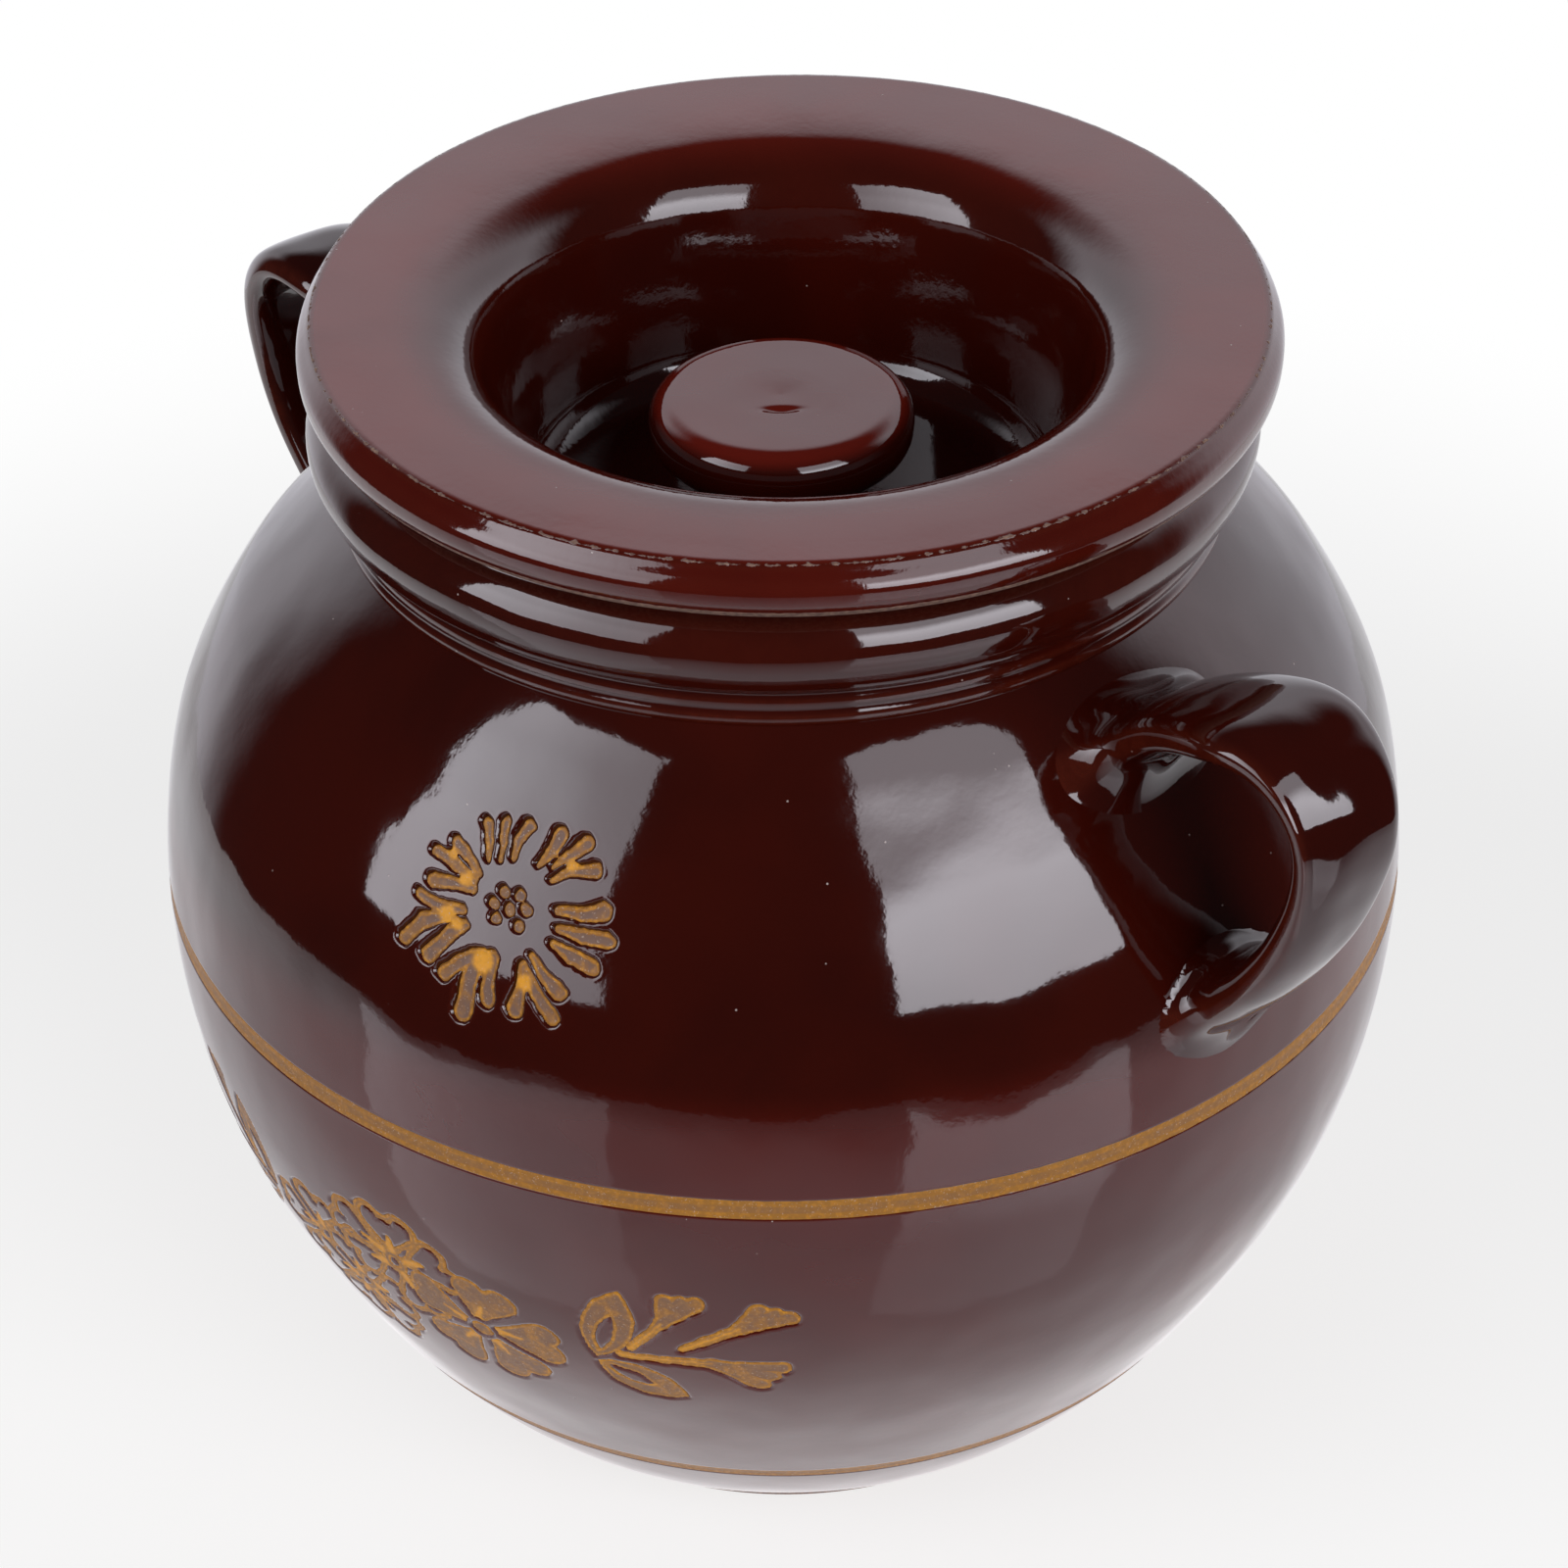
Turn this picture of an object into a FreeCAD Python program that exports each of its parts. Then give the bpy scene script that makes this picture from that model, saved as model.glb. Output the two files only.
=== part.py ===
import FreeCAD, Part
import math
import os
import Sketcher
from FreeCAD import Placement, Rotation, Vector

# A lidded stoneware pickle crock: a round-bellied pot with two strap ears and a sunken lid with a button knob.
# Millimetres. The origin is the centre of the foot, +Z is up, the ears stand near the X axis, the front faces -Y.

DRIVING_SIZES = {
    # pot, outside
    "belly_radius": 100.0,
    "belly_height": 97.0,
    "heel_radius": 68.4,
    "heel_height": 12.0,
    "foot_inset": 10.4,
    "foot_height": 3.0,
    "foot_ring": 8.0,
    "foot_recess": 2.5,
    "neck_radius": 69.0,
    "neck_base": 163.5,
    "ridge_size": 1.1,
    "ridge_pitch": 2.5,
    "neck_rise": 5.7,
    "bead_swell": 4.1,
    "bead_lower_rise": 4.9,
    "bead_upper_rise": 9.6,
    "rim_swell": 0.5,
    # pot, inside
    "wall": 7.0,
    "mouth_wall": 10.5,
    "mouth_length": 25.0,
    "mouth_round": 3.0,
    "pot_floor": 9.5,
    "pot_floor_round": 10.0,
    # lid
    "seat_gap": 0.3,
    "well_play": 6.0,
    "flange_overhang": 8.4,
    "flange_thickness": 10.7,
    "flange_top_round": 3.6,
    "flange_bottom_round": 4.5,
    "well_wall": 5.6,
    "well_taper": 4.2,
    "well_depth": 36.9,
    "well_floor": 6.0,
    "well_lip_round": 8.4,
    "well_corner_round": 5.0,
    # knob
    "knob_radius": 20.2,
    "knob_height": 19.4,
    "button_thickness": 9.5,
    "button_top_round": 2.4,
    "button_bottom_round": 4.0,
    "stem_radius": 14.0,
    "dimple_length": 6.0,
    "dimple_width": 1.6,
    "dimple_depth": 0.8,
    # ears
    "ear_width": 17.0,
    "ear_thickness": 8.0,
    "ear_reach": 14.0,
    "ear_rise": 3.5,
    "ear_height": 60.0,
    "ear_upper_root": 14.0,
    "ear_lower_root": 7.0,
    "ear_root_flare": 1.75,
    "ear_forward_angle": 3.8,
    # slip inlays
    "band_width": 2.6,
    "upper_band_height": 102.0,
    "lower_band_height": 29.2,
    "inlay_depth": 0.9,
    "inlay_sink": 0.25,
    "flower_azimuth": -69.0,
    "flower_height": 140.2,
    "flower_radius": 14.6,
    "seed_radius": 0.75,
    "spray_azimuth": -80.5,
    "spray_height": 66.0,
    "spray_right_gap": 5.5,
    "spray_left_gap": 1.34,
    "spray_leaf_rise": 8.0,
    "blossom_radius": 13.0,
    "outline_width": 1.3,
    "leaf_length": 17.0,
}

doc = FreeCAD.newDocument("PickleCrock")

# Sheet of driving sizes

dims = doc.addObject("Spreadsheet::Sheet", "Dims")
for row, (alias, number) in enumerate(DRIVING_SIZES.items(), start=1):
    dims.set(f"A{row}", alias)
    dims.set(f"B{row}", str(number))
    dims.setAlias(f"B{row}", alias)
doc.recompute()


def bound(expression):
    """Expression with its sheet aliases written as references to the sheet."""
    words = []
    word = ""
    for letter in expression + " ":
        if letter.isalnum() or letter in "_.":
            word += letter
            continue
        words.append(f"Dims.{word}" if word in DRIVING_SIZES else word)
        words.append(letter)
        word = ""
    return "".join(words).strip()


def value(expression):
    """Number that an expression in sheet aliases has."""
    result = dims.evalExpression(bound(expression))
    return float(getattr(result, "Value", result))


NODES = {}

# Bodies, sketches and features

def new_body(name):
    """Empty body."""
    return doc.addObject("PartDesign::Body", name)


def new_sketch(body, name, role="XZ_Plane"):
    """Empty sketch on one of the body's own origin planes."""
    sketch = body.newObject("Sketcher::SketchObject", name)
    plane = next(item for item in body.Origin.OriginFeatures if item.Role == role)
    sketch.AttachmentSupport = (plane, [""])
    sketch.MapMode = "FlatFace"
    return sketch


def pin_point(sketch, geometry, end, x, y):
    """Hold a sketch point at a place that is bound to the sheet."""
    for kind, axis, expression in (("DistanceX", -2, x), ("DistanceY", -1, y)):
        if expression == "0":
            sketch.addConstraint(Sketcher.Constraint("PointOnObject", geometry, end, axis))
            continue
        index = sketch.addConstraint(Sketcher.Constraint(kind, -1, 1, geometry, end, value(expression)))
        sketch.setExpression(f"Constraints[{index}]", bound(expression))


def outline(sketch, corners):
    """Closed outline of lines and arcs, bound to the sheet.

    A corner is (x, y), or (x, y, radius) where an arc leaves it that bows to the right of the way round."""
    places = [Vector(value(corner[0]), value(corner[1]), 0) for corner in corners]
    ends = []
    for number, corner in enumerate(corners):
        start, finish = places[number], places[(number + 1) % len(corners)]
        if len(corner) == 2:
            edge = sketch.addGeometry(Part.LineSegment(start, finish), False)
        else:
            radius = value(corner[2])
            chord = finish - start
            right = Vector(chord.y, -chord.x, 0).normalize()
            rise = abs(radius) - math.sqrt(radius * radius - chord.Length ** 2 / 4)
            middle = (start + finish) * 0.5 + right * math.copysign(rise, radius)
            edge = sketch.addGeometry(Part.Arc(start, middle, finish), False)
            index = sketch.addConstraint(Sketcher.Constraint("Radius", edge, abs(radius)))
            sketch.setExpression(f"Constraints[{index}]", bound(f"abs({corner[2]})"))
        first = 1 if sketch.getPoint(edge, 1).isEqual(start, 1e-6) else 2
        ends.append((edge, first, 3 - first))
    for number, corner in enumerate(corners):
        edge, first, _ = ends[number]
        before, _, last = ends[number - 1]
        sketch.addConstraint(Sketcher.Constraint("Coincident", before, last, edge, first))
        pin_point(sketch, edge, first, corner[0], corner[1])


def circle(sketch, x, y, radius):
    """Circle bound to the sheet."""
    edge = sketch.addGeometry(Part.Circle(Vector(value(x), value(y), 0), Vector(0, 0, 1), value(radius)), False)
    pin_point(sketch, edge, 3, x, y)
    index = sketch.addConstraint(Sketcher.Constraint("Radius", edge, value(radius)))
    sketch.setExpression(f"Constraints[{index}]", bound(radius))


def turned(body, name, sketch, kind="PartDesign::Revolution"):
    """Feature that turns a sketch once round the vertical axis."""
    feature = body.newObject(kind, name)
    feature.Profile = sketch
    feature.ReferenceAxis = (sketch, ["V_Axis"])
    feature.Angle = 360
    doc.recompute()
    return feature


def rounded(body, name, rings, radius):
    """Fillet on the circular edges that lie at the given (radius, height) places."""
    base = body.Tip
    names = []
    for ring_radius, ring_height in rings:
        place = (value(ring_radius), value(ring_height))
        for number, edge in enumerate(base.Shape.Edges, start=1):
            curve = edge.Curve
            if not isinstance(curve, Part.Circle):
                continue
            if math.dist((curve.Radius, curve.Center.z), place) < 0.01 and abs(curve.Axis.z) > 0.99:
                names.append(f"Edge{number}")
    fillet = body.newObject("PartDesign::Fillet", name)
    fillet.Base = (base, names)
    fillet.Radius = value(radius)
    fillet.setExpression("Radius", bound(radius))
    doc.recompute()
    return fillet


# Outline of the pot

def swell(radius, height, end_radius, end_height):
    """Radius of the arc that stands upright at its widest point and ends at another point."""
    reach = f"({radius} - {end_radius})"
    rise = f"({end_height} - {height})"
    return f"(({reach}^2 + {rise}^2) / (2 * {reach}))"


FOOT_RADIUS = "(heel_radius - foot_inset)"
BEAD_BOTTOM = "(neck_base + neck_rise)"
BEAD_MIDDLE = f"({BEAD_BOTTOM} + bead_lower_rise)"
BEAD_RADIUS = "(neck_radius + bead_swell)"
RIM_HEIGHT = f"({BEAD_MIDDLE} + bead_upper_rise)"
RIM_RADIUS = "(neck_radius + rim_swell)"
MOUTH_RADIUS = f"({RIM_RADIUS} - mouth_wall)"
LOWER_SWELL = swell("belly_radius", "belly_height", "heel_radius", "heel_height")
UPPER_SWELL = swell("belly_radius", "belly_height", "neck_radius", "neck_base")
BEAD_LOWER = swell(BEAD_RADIUS, BEAD_MIDDLE, "neck_radius", BEAD_BOTTOM)
BEAD_UPPER = swell(BEAD_RADIUS, BEAD_MIDDLE, RIM_RADIUS, RIM_HEIGHT)
INNER_RADIUS = "(belly_radius - wall)"
INNER_HEEL = ("(heel_radius - 0.76 * wall)", "(heel_height + 0.65 * wall)")
FLOOR_RADIUS = "(heel_radius - 1.7 * wall)"
RECESS_RADIUS = f"({FOOT_RADIUS} - foot_ring)"
INNER_NECK = (MOUTH_RADIUS, f"({RIM_HEIGHT} - mouth_length)")

POT_OUTSIDE = [
    (FOOT_RADIUS, "0"),
    (FOOT_RADIUS, "foot_height"),
    ("heel_radius", "heel_height", LOWER_SWELL),
    ("belly_radius", "belly_height", UPPER_SWELL),
    ("neck_radius", "neck_base"),
    ("neck_radius", BEAD_BOTTOM, BEAD_LOWER),
    (BEAD_RADIUS, BEAD_MIDDLE, BEAD_UPPER),
    (RIM_RADIUS, RIM_HEIGHT),
]

POT_INSIDE = [
    (MOUTH_RADIUS, RIM_HEIGHT),
    (*INNER_NECK, "-" + swell(INNER_RADIUS, "belly_height", *INNER_NECK)),
    (INNER_RADIUS, "belly_height", "-" + swell(INNER_RADIUS, "belly_height", *INNER_HEEL)),
    INNER_HEEL,
    (FLOOR_RADIUS, "pot_floor"),
    ("0", "pot_floor"),
    ("0", "foot_recess"),
    (RECESS_RADIUS, "foot_recess"),
    (RECESS_RADIUS, "0"),
]


def add_ridges(body):
    """Two thrown ridges round the neck."""
    for number, height in enumerate(("neck_base + ridge_size", "neck_base + ridge_size + ridge_pitch")):
        sketch = new_sketch(body, f"{body.Name}RidgeSketch{number}")
        circle(sketch, "neck_radius", height, "ridge_size")
        turned(body, f"{body.Name}Ridge{number}", sketch)


def surface_point(height, swell_radius, out, along):
    """Point beside the pot's outside in its section: out along the normal and up along the surface."""
    centre = f"(belly_radius - {swell_radius})"
    lift = f"({height} - belly_height)"
    flat = f"sqrt({swell_radius}^2 - {lift}^2)"
    x = f"{centre} + {flat} + ({out}) * {flat} / {swell_radius} - ({along}) * {lift} / {swell_radius}"
    y = f"{height} + ({out}) * {lift} / {swell_radius} + ({along}) * {flat} / {swell_radius}"
    return x, y


def band_outline(height, swell_radius, bottom, top):
    """Section of a band that lies square to the pot's outside."""
    half = "band_width / 2"
    return [
        surface_point(height, swell_radius, bottom, f"-{half}"),
        surface_point(height, swell_radius, top, f"-{half}"),
        surface_point(height, swell_radius, top, half),
        surface_point(height, swell_radius, bottom, half),
    ]


BANDS = {
    "upper_band": ("upper_band_height", UPPER_SWELL),
    "lower_band": ("lower_band_height", LOWER_SWELL),
}

# Solid with the pot's outside, which trims the ears

blank = new_body("PotBlank")
blank_sketch = new_sketch(blank, "PotBlankSketch")
outline(blank_sketch, [("0", "0"), *POT_OUTSIDE, ("0", RIM_HEIGHT)])
turned(blank, "PotBlankTurned", blank_sketch)
add_ridges(blank)

# Pot

pot = new_body("Pot")
pot_sketch = new_sketch(pot, "PotSketch")
outline(pot_sketch, POT_OUTSIDE + POT_INSIDE)
turned(pot, "PotTurned", pot_sketch)
add_ridges(pot)
for node, (height, swell_radius) in BANDS.items():
    groove_sketch = new_sketch(pot, f"{node}_groove_sketch")
    outline(groove_sketch, band_outline(height, swell_radius, "-inlay_depth", "inlay_depth"))
    full = pot.Tip.Shape.Volume
    groove = turned(pot, f"{node}_groove", groove_sketch, "PartDesign::Groove")
    print(node, "groove takes", round(full - groove.Shape.Volume, 1), "mm3")
rounded(pot, "PotFloorRound", [(FLOOR_RADIUS, "pot_floor")], "pot_floor_round")
rounded(pot, "MouthRound", [(MOUTH_RADIUS, RIM_HEIGHT)], "mouth_round")

# Slip bands that fill the two turned grooves

for node, (height, swell_radius) in BANDS.items():
    band = new_body(node)
    band_sketch = new_sketch(band, f"{node}_sketch")
    outline(band_sketch, band_outline(height, swell_radius, "-inlay_depth", "-inlay_sink"))
    turned(band, f"{node}_turned", band_sketch)
    NODES[node] = band

# Lid: a flat flange that rests on the rim, round a well that hangs in the mouth

LID_SEAT = f"({RIM_HEIGHT} + seat_gap)"
LID_TOP = f"({LID_SEAT} + flange_thickness)"
WELL_BOTTOM = f"({LID_TOP} - well_depth)"
WELL_UNDERSIDE = f"({WELL_BOTTOM} - well_floor)"
WELL_OUTSIDE = f"({MOUTH_RADIUS} - well_play)"
WELL_RADIUS = f"({WELL_OUTSIDE} - well_wall)"
WELL_FLOOR_RADIUS = f"({WELL_RADIUS} - well_taper)"
UNDERSIDE_RADIUS = f"({WELL_OUTSIDE} - well_taper)"
FLANGE_RADIUS = f"({RIM_RADIUS} + flange_overhang)"

lid = new_body("Lid")
lid_sketch = new_sketch(lid, "LidSketch")
outline(lid_sketch, [
    ("0", WELL_UNDERSIDE),
    (UNDERSIDE_RADIUS, WELL_UNDERSIDE),
    (WELL_OUTSIDE, LID_SEAT),
    (FLANGE_RADIUS, LID_SEAT),
    (FLANGE_RADIUS, LID_TOP),
    (WELL_RADIUS, LID_TOP),
    (WELL_FLOOR_RADIUS, WELL_BOTTOM),
    ("0", WELL_BOTTOM),
])
turned(lid, "LidTurned", lid_sketch)
rounded(lid, "LipRound", [(WELL_RADIUS, LID_TOP)], "well_lip_round")
rounded(lid, "FlangeTopRound", [(FLANGE_RADIUS, LID_TOP)], "flange_top_round")
rounded(lid, "FlangeBottomRound", [(FLANGE_RADIUS, LID_SEAT)], "flange_bottom_round")
rounded(lid, "WellCornerRound", [(WELL_FLOOR_RADIUS, WELL_BOTTOM)], "well_corner_round")
rounded(lid, "WellUndersideRound", [(UNDERSIDE_RADIUS, WELL_UNDERSIDE)], "well_corner_round")
NODES["lid"] = lid

# Knob: a button on a short stem, luted to the well's floor

KNOB_TOP = f"({WELL_BOTTOM} + knob_height)"
BUTTON_UNDERSIDE = f"({KNOB_TOP} - button_thickness)"
DIMPLE_END = "0.55 * dimple_width"

knob = new_body("Knob")
knob_sketch = new_sketch(knob, "KnobSketch")
outline(knob_sketch, [
    ("0", WELL_BOTTOM),
    ("stem_radius", WELL_BOTTOM),
    ("stem_radius", BUTTON_UNDERSIDE),
    ("knob_radius", BUTTON_UNDERSIDE),
    ("knob_radius", KNOB_TOP),
    ("0", KNOB_TOP),
])
turned(knob, "KnobTurned", knob_sketch)
rounded(knob, "ButtonBottomRound", [("knob_radius", BUTTON_UNDERSIDE)], "button_bottom_round")
rounded(knob, "ButtonTopRound", [("knob_radius", KNOB_TOP)], "button_top_round")
rounded(knob, "StemRound", [("stem_radius", BUTTON_UNDERSIDE)], "button_top_round")
dimple_sketch = new_sketch(knob, "DimpleSketch", "XY_Plane")
dimple_sketch.setExpression("AttachmentOffset.Base.x", bound("-dimple_length / 2"))
dimple_sketch.setExpression("AttachmentOffset.Base.y", bound("-dimple_width / 2"))
dimple_sketch.setExpression("AttachmentOffset.Base.z", bound(KNOB_TOP))
outline(dimple_sketch, [
    ("0", "0"),
    ("dimple_length", "0", DIMPLE_END),
    ("dimple_length", "dimple_width"),
    ("0", "dimple_width", DIMPLE_END),
])
doc.recompute()
before_dimple = knob.Tip.Shape.Volume
dimple = knob.newObject("PartDesign::Pocket", "Dimple")
dimple.Profile = dimple_sketch
dimple.Length = value("dimple_depth")
dimple.setExpression("Length", bound("dimple_depth"))
doc.recompute()
print("dimple takes", round(before_dimple - dimple.Shape.Volume, 2), "mm3")
NODES["lid_knob"] = knob

# Ears: a tapering strap that arches from the shoulder to the belly

def shoulder_radius(height):
    """Radius of the pot's outside above its widest point."""
    return f"(belly_radius - {UPPER_SWELL} + sqrt({UPPER_SWELL}^2 - ({height} - belly_height)^2))"


def ear_height_at(down):
    """Height at a share of the ear's height below its top."""
    return f"(neck_base + ear_rise - {down} * ear_height)"


UPPER_ROOT = f"({shoulder_radius(ear_height_at(0.35))} - ear_upper_root)"
LOWER_ROOT = f"({shoulder_radius(ear_height_at(0.99))} - ear_lower_root)"

# Each station is (radius, share of the ear's height below its top, width, thickness)
EAR_STATIONS = [
    (UPPER_ROOT, 0.35, "ear_root_flare", 1.4),
    ("(belly_radius - ear_reach)", 0.1, 1.45, 1.05),
    ("(belly_radius + 0.3 * ear_reach)", 0, 1.3, 1),
    ("(belly_radius + ear_reach)", 0.13, 1.1, 0.95),
    ("(belly_radius + 0.86 * ear_reach)", 0.45, 1, 1),
    ("(belly_radius + 0.2 * ear_reach)", 0.73, 1.05, 1.05),
    (LOWER_ROOT, 0.99, "ear_root_flare", 1.3),
]
station_places = [(x, ear_height_at(down)) for x, down, _, _ in EAR_STATIONS]
sections = []
for number, (_, _, wide, thick) in enumerate(EAR_STATIONS):
    x, z = station_places[number]
    before = station_places[max(number - 1, 0)]
    after = station_places[min(number + 1, len(EAR_STATIONS) - 1)]
    section = doc.addObject("Part::Ellipse", f"EarSection{number}")
    section.setExpression("MajorRadius", bound(f"ear_width * {wide} / 2"))
    section.setExpression("MinorRadius", bound(f"ear_thickness * {thick} / 2"))
    lean = f"atan2({after[0]} - {before[0]}; {after[1]} - {before[1]})"
    section.setExpression("Placement", bound(
        f"create(<<placement>>; create(<<vector>>; {x}; 0; {z});"
        f" create(<<rotation>>; create(<<vector>>; 0; 1; 0); {lean})"
        f" * create(<<rotation>>; create(<<vector>>; 0; 0; 1); 90))"
    ))
    sections.append(section)
strap = doc.addObject("Part::Loft", "EarStrap")
strap.Sections = sections
strap.Solid = True
right_ear = doc.addObject("Part::Cut", "RightEar")
right_ear.Base = strap
right_ear.Tool = blank
right_ear.setExpression("Placement.Rotation.Angle", bound("-ear_forward_angle"))
left_ear = doc.addObject("Part::Mirroring", "LeftEar")
left_ear.Source = right_ear
left_ear.Normal = (1, 0, 0)
doc.recompute()
NODES["right_ear"] = right_ear
NODES["left_ear"] = left_ear

# Ornament: strokes drawn on planes that touch the belly, cut through its skin

def tangent_plane(azimuth, height, swell_radius):
    """Placement whose XY plane touches the belly: X runs round to the right, Y runs up, Z points outward."""
    radius = value(swell_radius)
    lift = height - value("belly_height")
    flat = math.sqrt(radius * radius - lift * lift)
    slope = math.asin(lift / radius)
    turn = math.radians(azimuth)
    reach = value("belly_radius") - radius + flat
    outward = Vector(math.cos(slope) * math.cos(turn), math.cos(slope) * math.sin(turn), math.sin(slope))
    right = Vector(-math.sin(turn), math.cos(turn), 0)
    place = Vector(reach * math.cos(turn), reach * math.sin(turn), height)
    return Placement(place, Rotation(right, outward.cross(right), outward, "ZXY"))


def skin(swell_radius, deep, proud, low, high):
    """Layer of the belly between two depths and two heights."""
    radius = value(swell_radius)
    middle = value("belly_height")
    centre = Vector(value("belly_radius") - radius, 0, middle)

    def at(out, height):
        lift = (height - middle) * (radius + out) / radius
        return centre + Vector(math.sqrt((radius + out) ** 2 - lift * lift), 0, lift)

    half = (low + high) / 2
    section = Part.Wire([
        Part.Arc(at(deep, low), at(deep, half), at(deep, high)).toShape(),
        Part.LineSegment(at(deep, high), at(proud, high)).toShape(),
        Part.Arc(at(proud, high), at(proud, half), at(proud, low)).toShape(),
        Part.LineSegment(at(proud, low), at(deep, low)).toShape(),
    ])
    return Part.Face(section).revolve(Vector(0, 0, 0), Vector(0, 0, 1), 360)


def polar(distance, degrees):
    """Point on the drawing plane at a distance and an angle from its centre."""
    turn = math.radians(degrees)
    return Vector(distance * math.cos(turn), distance * math.sin(turn), 0)


def stroke(start, finish, start_width, finish_width):
    """Prism of a tapering stroke with round ends."""
    along = finish - start
    half, last = start_width / 2, finish_width / 2
    lean = math.acos((half - last) / along.Length)
    heading = math.atan2(along.y, along.x)

    def rim(centre, radius, angle):
        return centre + Vector(radius * math.cos(angle), radius * math.sin(angle), 0)

    wire = Part.Wire([
        Part.LineSegment(rim(start, half, heading - lean), rim(finish, last, heading - lean)).toShape(),
        Part.Arc(
            rim(finish, last, heading - lean), rim(finish, last, heading), rim(finish, last, heading + lean)
        ).toShape(),
        Part.LineSegment(rim(finish, last, heading + lean), rim(start, half, heading + lean)).toShape(),
        Part.Arc(
            rim(start, half, heading + lean), rim(start, half, heading + math.pi), rim(start, half, heading - lean)
        ).toShape(),
    ])
    return Part.Face(wire).extrude(Vector(0, 0, PRISM_HEIGHT))


def petal(centre, degrees, reach, width, inset=0.0):
    """Prism of a petal with a notched end: two lobes and a web that part from one foot, drawn in by the inset."""
    foot = centre + polar(PETAL_FOOT * reach, degrees)
    lobe = LOBE_WIDTH * width
    ends = [
        (centre + polar(reach - lobe / 2, degrees - LOBE_ANGLE), lobe),
        (centre + polar(reach - lobe / 2, degrees + LOBE_ANGLE), lobe),
        (centre + polar(PETAL_WEB * reach, degrees), WEB_WIDTH * width),
    ]
    parts = [stroke(foot, end, FOOT_WIDTH * width - 2 * inset, wide - 2 * inset) for end, wide in ends]
    return parts[0].fuse(parts[1:]).removeSplitter()


def leaf(base, tip, width):
    """Prism of a pointed leaf between two arcs."""
    side = Vector(base.y - tip.y, tip.x - base.x, 0).normalize() * (width / 2)
    middle = (base + tip) * 0.5
    wire = Part.Wire([
        Part.Arc(base, middle - side, tip).toShape(),
        Part.Arc(tip, middle + side, base).toShape(),
    ])
    return Part.Face(wire).extrude(Vector(0, 0, PRISM_HEIGHT))


def disc(centre, radius):
    """Round prism."""
    return Part.makeCylinder(radius, PRISM_HEIGHT, centre)


PRISM_DEPTH = 12.0
PRISM_HEIGHT = 16.0

# A petal's places in its reach and its widths in its own width
PETAL_FOOT = 0.3
PETAL_WEB = 0.66
FOOT_WIDTH = 0.36
LOBE_WIDTH = 0.48
WEB_WIDTH = 0.5
LOBE_ANGLE = 17.0


def lay_in(node, drawings):
    """Put an inlay in the model and return the solids to cut for it.

    A drawing is (prisms, plane, radius of the belly's arc, height of its middle, half its height)."""
    depth, sink = value("inlay_depth"), value("inlay_sink")
    filled, opened = [], []
    for prisms, plane, swell_radius, middle, half in drawings:
        layers = [
            skin(swell_radius, -depth, proud, value(middle) - half, value(middle) + half)
            for proud in (-sink, depth)
        ]
        for prism in prisms:
            prism.Placement = plane.multiply(Placement(Vector(0, 0, -PRISM_DEPTH), Rotation()))
            filled += prism.common(layers[0]).Solids
            opened += prism.common(layers[1]).Solids
    inlay = doc.addObject("Part::Feature", node)
    inlay.Shape = Part.makeCompound(filled)
    NODES[node] = inlay
    return opened


# Flower on the shoulder: seven groups of three strokes, each with its angle and the reaches of its strokes
FLOWER_GROUPS = [
    (107, (0.84, 0.83, 0.89)),
    (48, (0.97, 1.0, 0.88)),
    (-5, (1.02, 1.07, 1.0)),
    (-61, (1.03, 1.14, 0.95)),
    (-107, (0.97, 1.26, 0.97)),
    (-153, (1.05, 1.25, 1.03)),
    (164, (0.9, 1.02, 0.91)),
]

# A stroke's places and widths in flower radii, and the seeds' circle
STROKE_START = 0.52
STROKE_WIDTH = 0.13
SEED_CIRCLE = 0.165
SEED_TURN = 10
# Its first width in its last, the first angle in the last, and how much the hanging groups gain in width
START_WIDTH = 0.55
START_FAN = 0.85
DROP_GAIN = 0.5
STROKE_FAN = 15.5
FLOWER_HALF = 1.4

flower_size = value("flower_radius")
strokes = []
for angle, reaches in FLOWER_GROUPS:
    drop = max(0.0, -math.sin(math.radians(angle)))
    tip_width = STROKE_WIDTH * flower_size * (1 + DROP_GAIN * drop)
    for side, reach in zip((-1, 0, 1), reaches):
        inner = polar(STROKE_START * flower_size, angle + START_FAN * STROKE_FAN * side)
        outer = polar(reach * flower_size - tip_width / 2, angle + STROKE_FAN * side)
        strokes.append(stroke(inner, outer, START_WIDTH * tip_width, tip_width))
seeds = [disc(Vector(), value("seed_radius"))]
for number in range(6):
    seeds.append(disc(polar(SEED_CIRCLE * flower_size, SEED_TURN + 60 * number), value("seed_radius")))
flower_plane = tangent_plane(value("flower_azimuth"), value("flower_height"), UPPER_SWELL)
flower_place = (flower_plane, UPPER_SWELL, "flower_height", FLOWER_HALF * flower_size)
recesses = lay_in("flower_petals", [(strokes, *flower_place)])
recesses += lay_in("flower_seeds", [(seeds, *flower_place)])

# Spray on the belly: four blossoms that overlap, the front one filled and the others in outline.
# Each has its place in blossom radii and the angles of its petals
BLOSSOMS = [
    ((1.03, -0.08), (75, 3, -69, -141, 147)),
    ((-0.06, 0.52), (92, 26, -40, 210, 151)),
    ((-0.84, -0.5), (32, -42, -112, 174, 103)),
    ((-1.35, -0.2), (100, 164, 228, 292, 30)),
]

# Widths and radii in blossom radii
PETAL_WIDTH = 0.78
EYE_RADIUS = 0.1
EYE_RING = 0.2
MIDDLE_RADIUS = 0.32
MIDDLE_MARGIN = 0.4
SPRAY_HALF = 1.8

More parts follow.
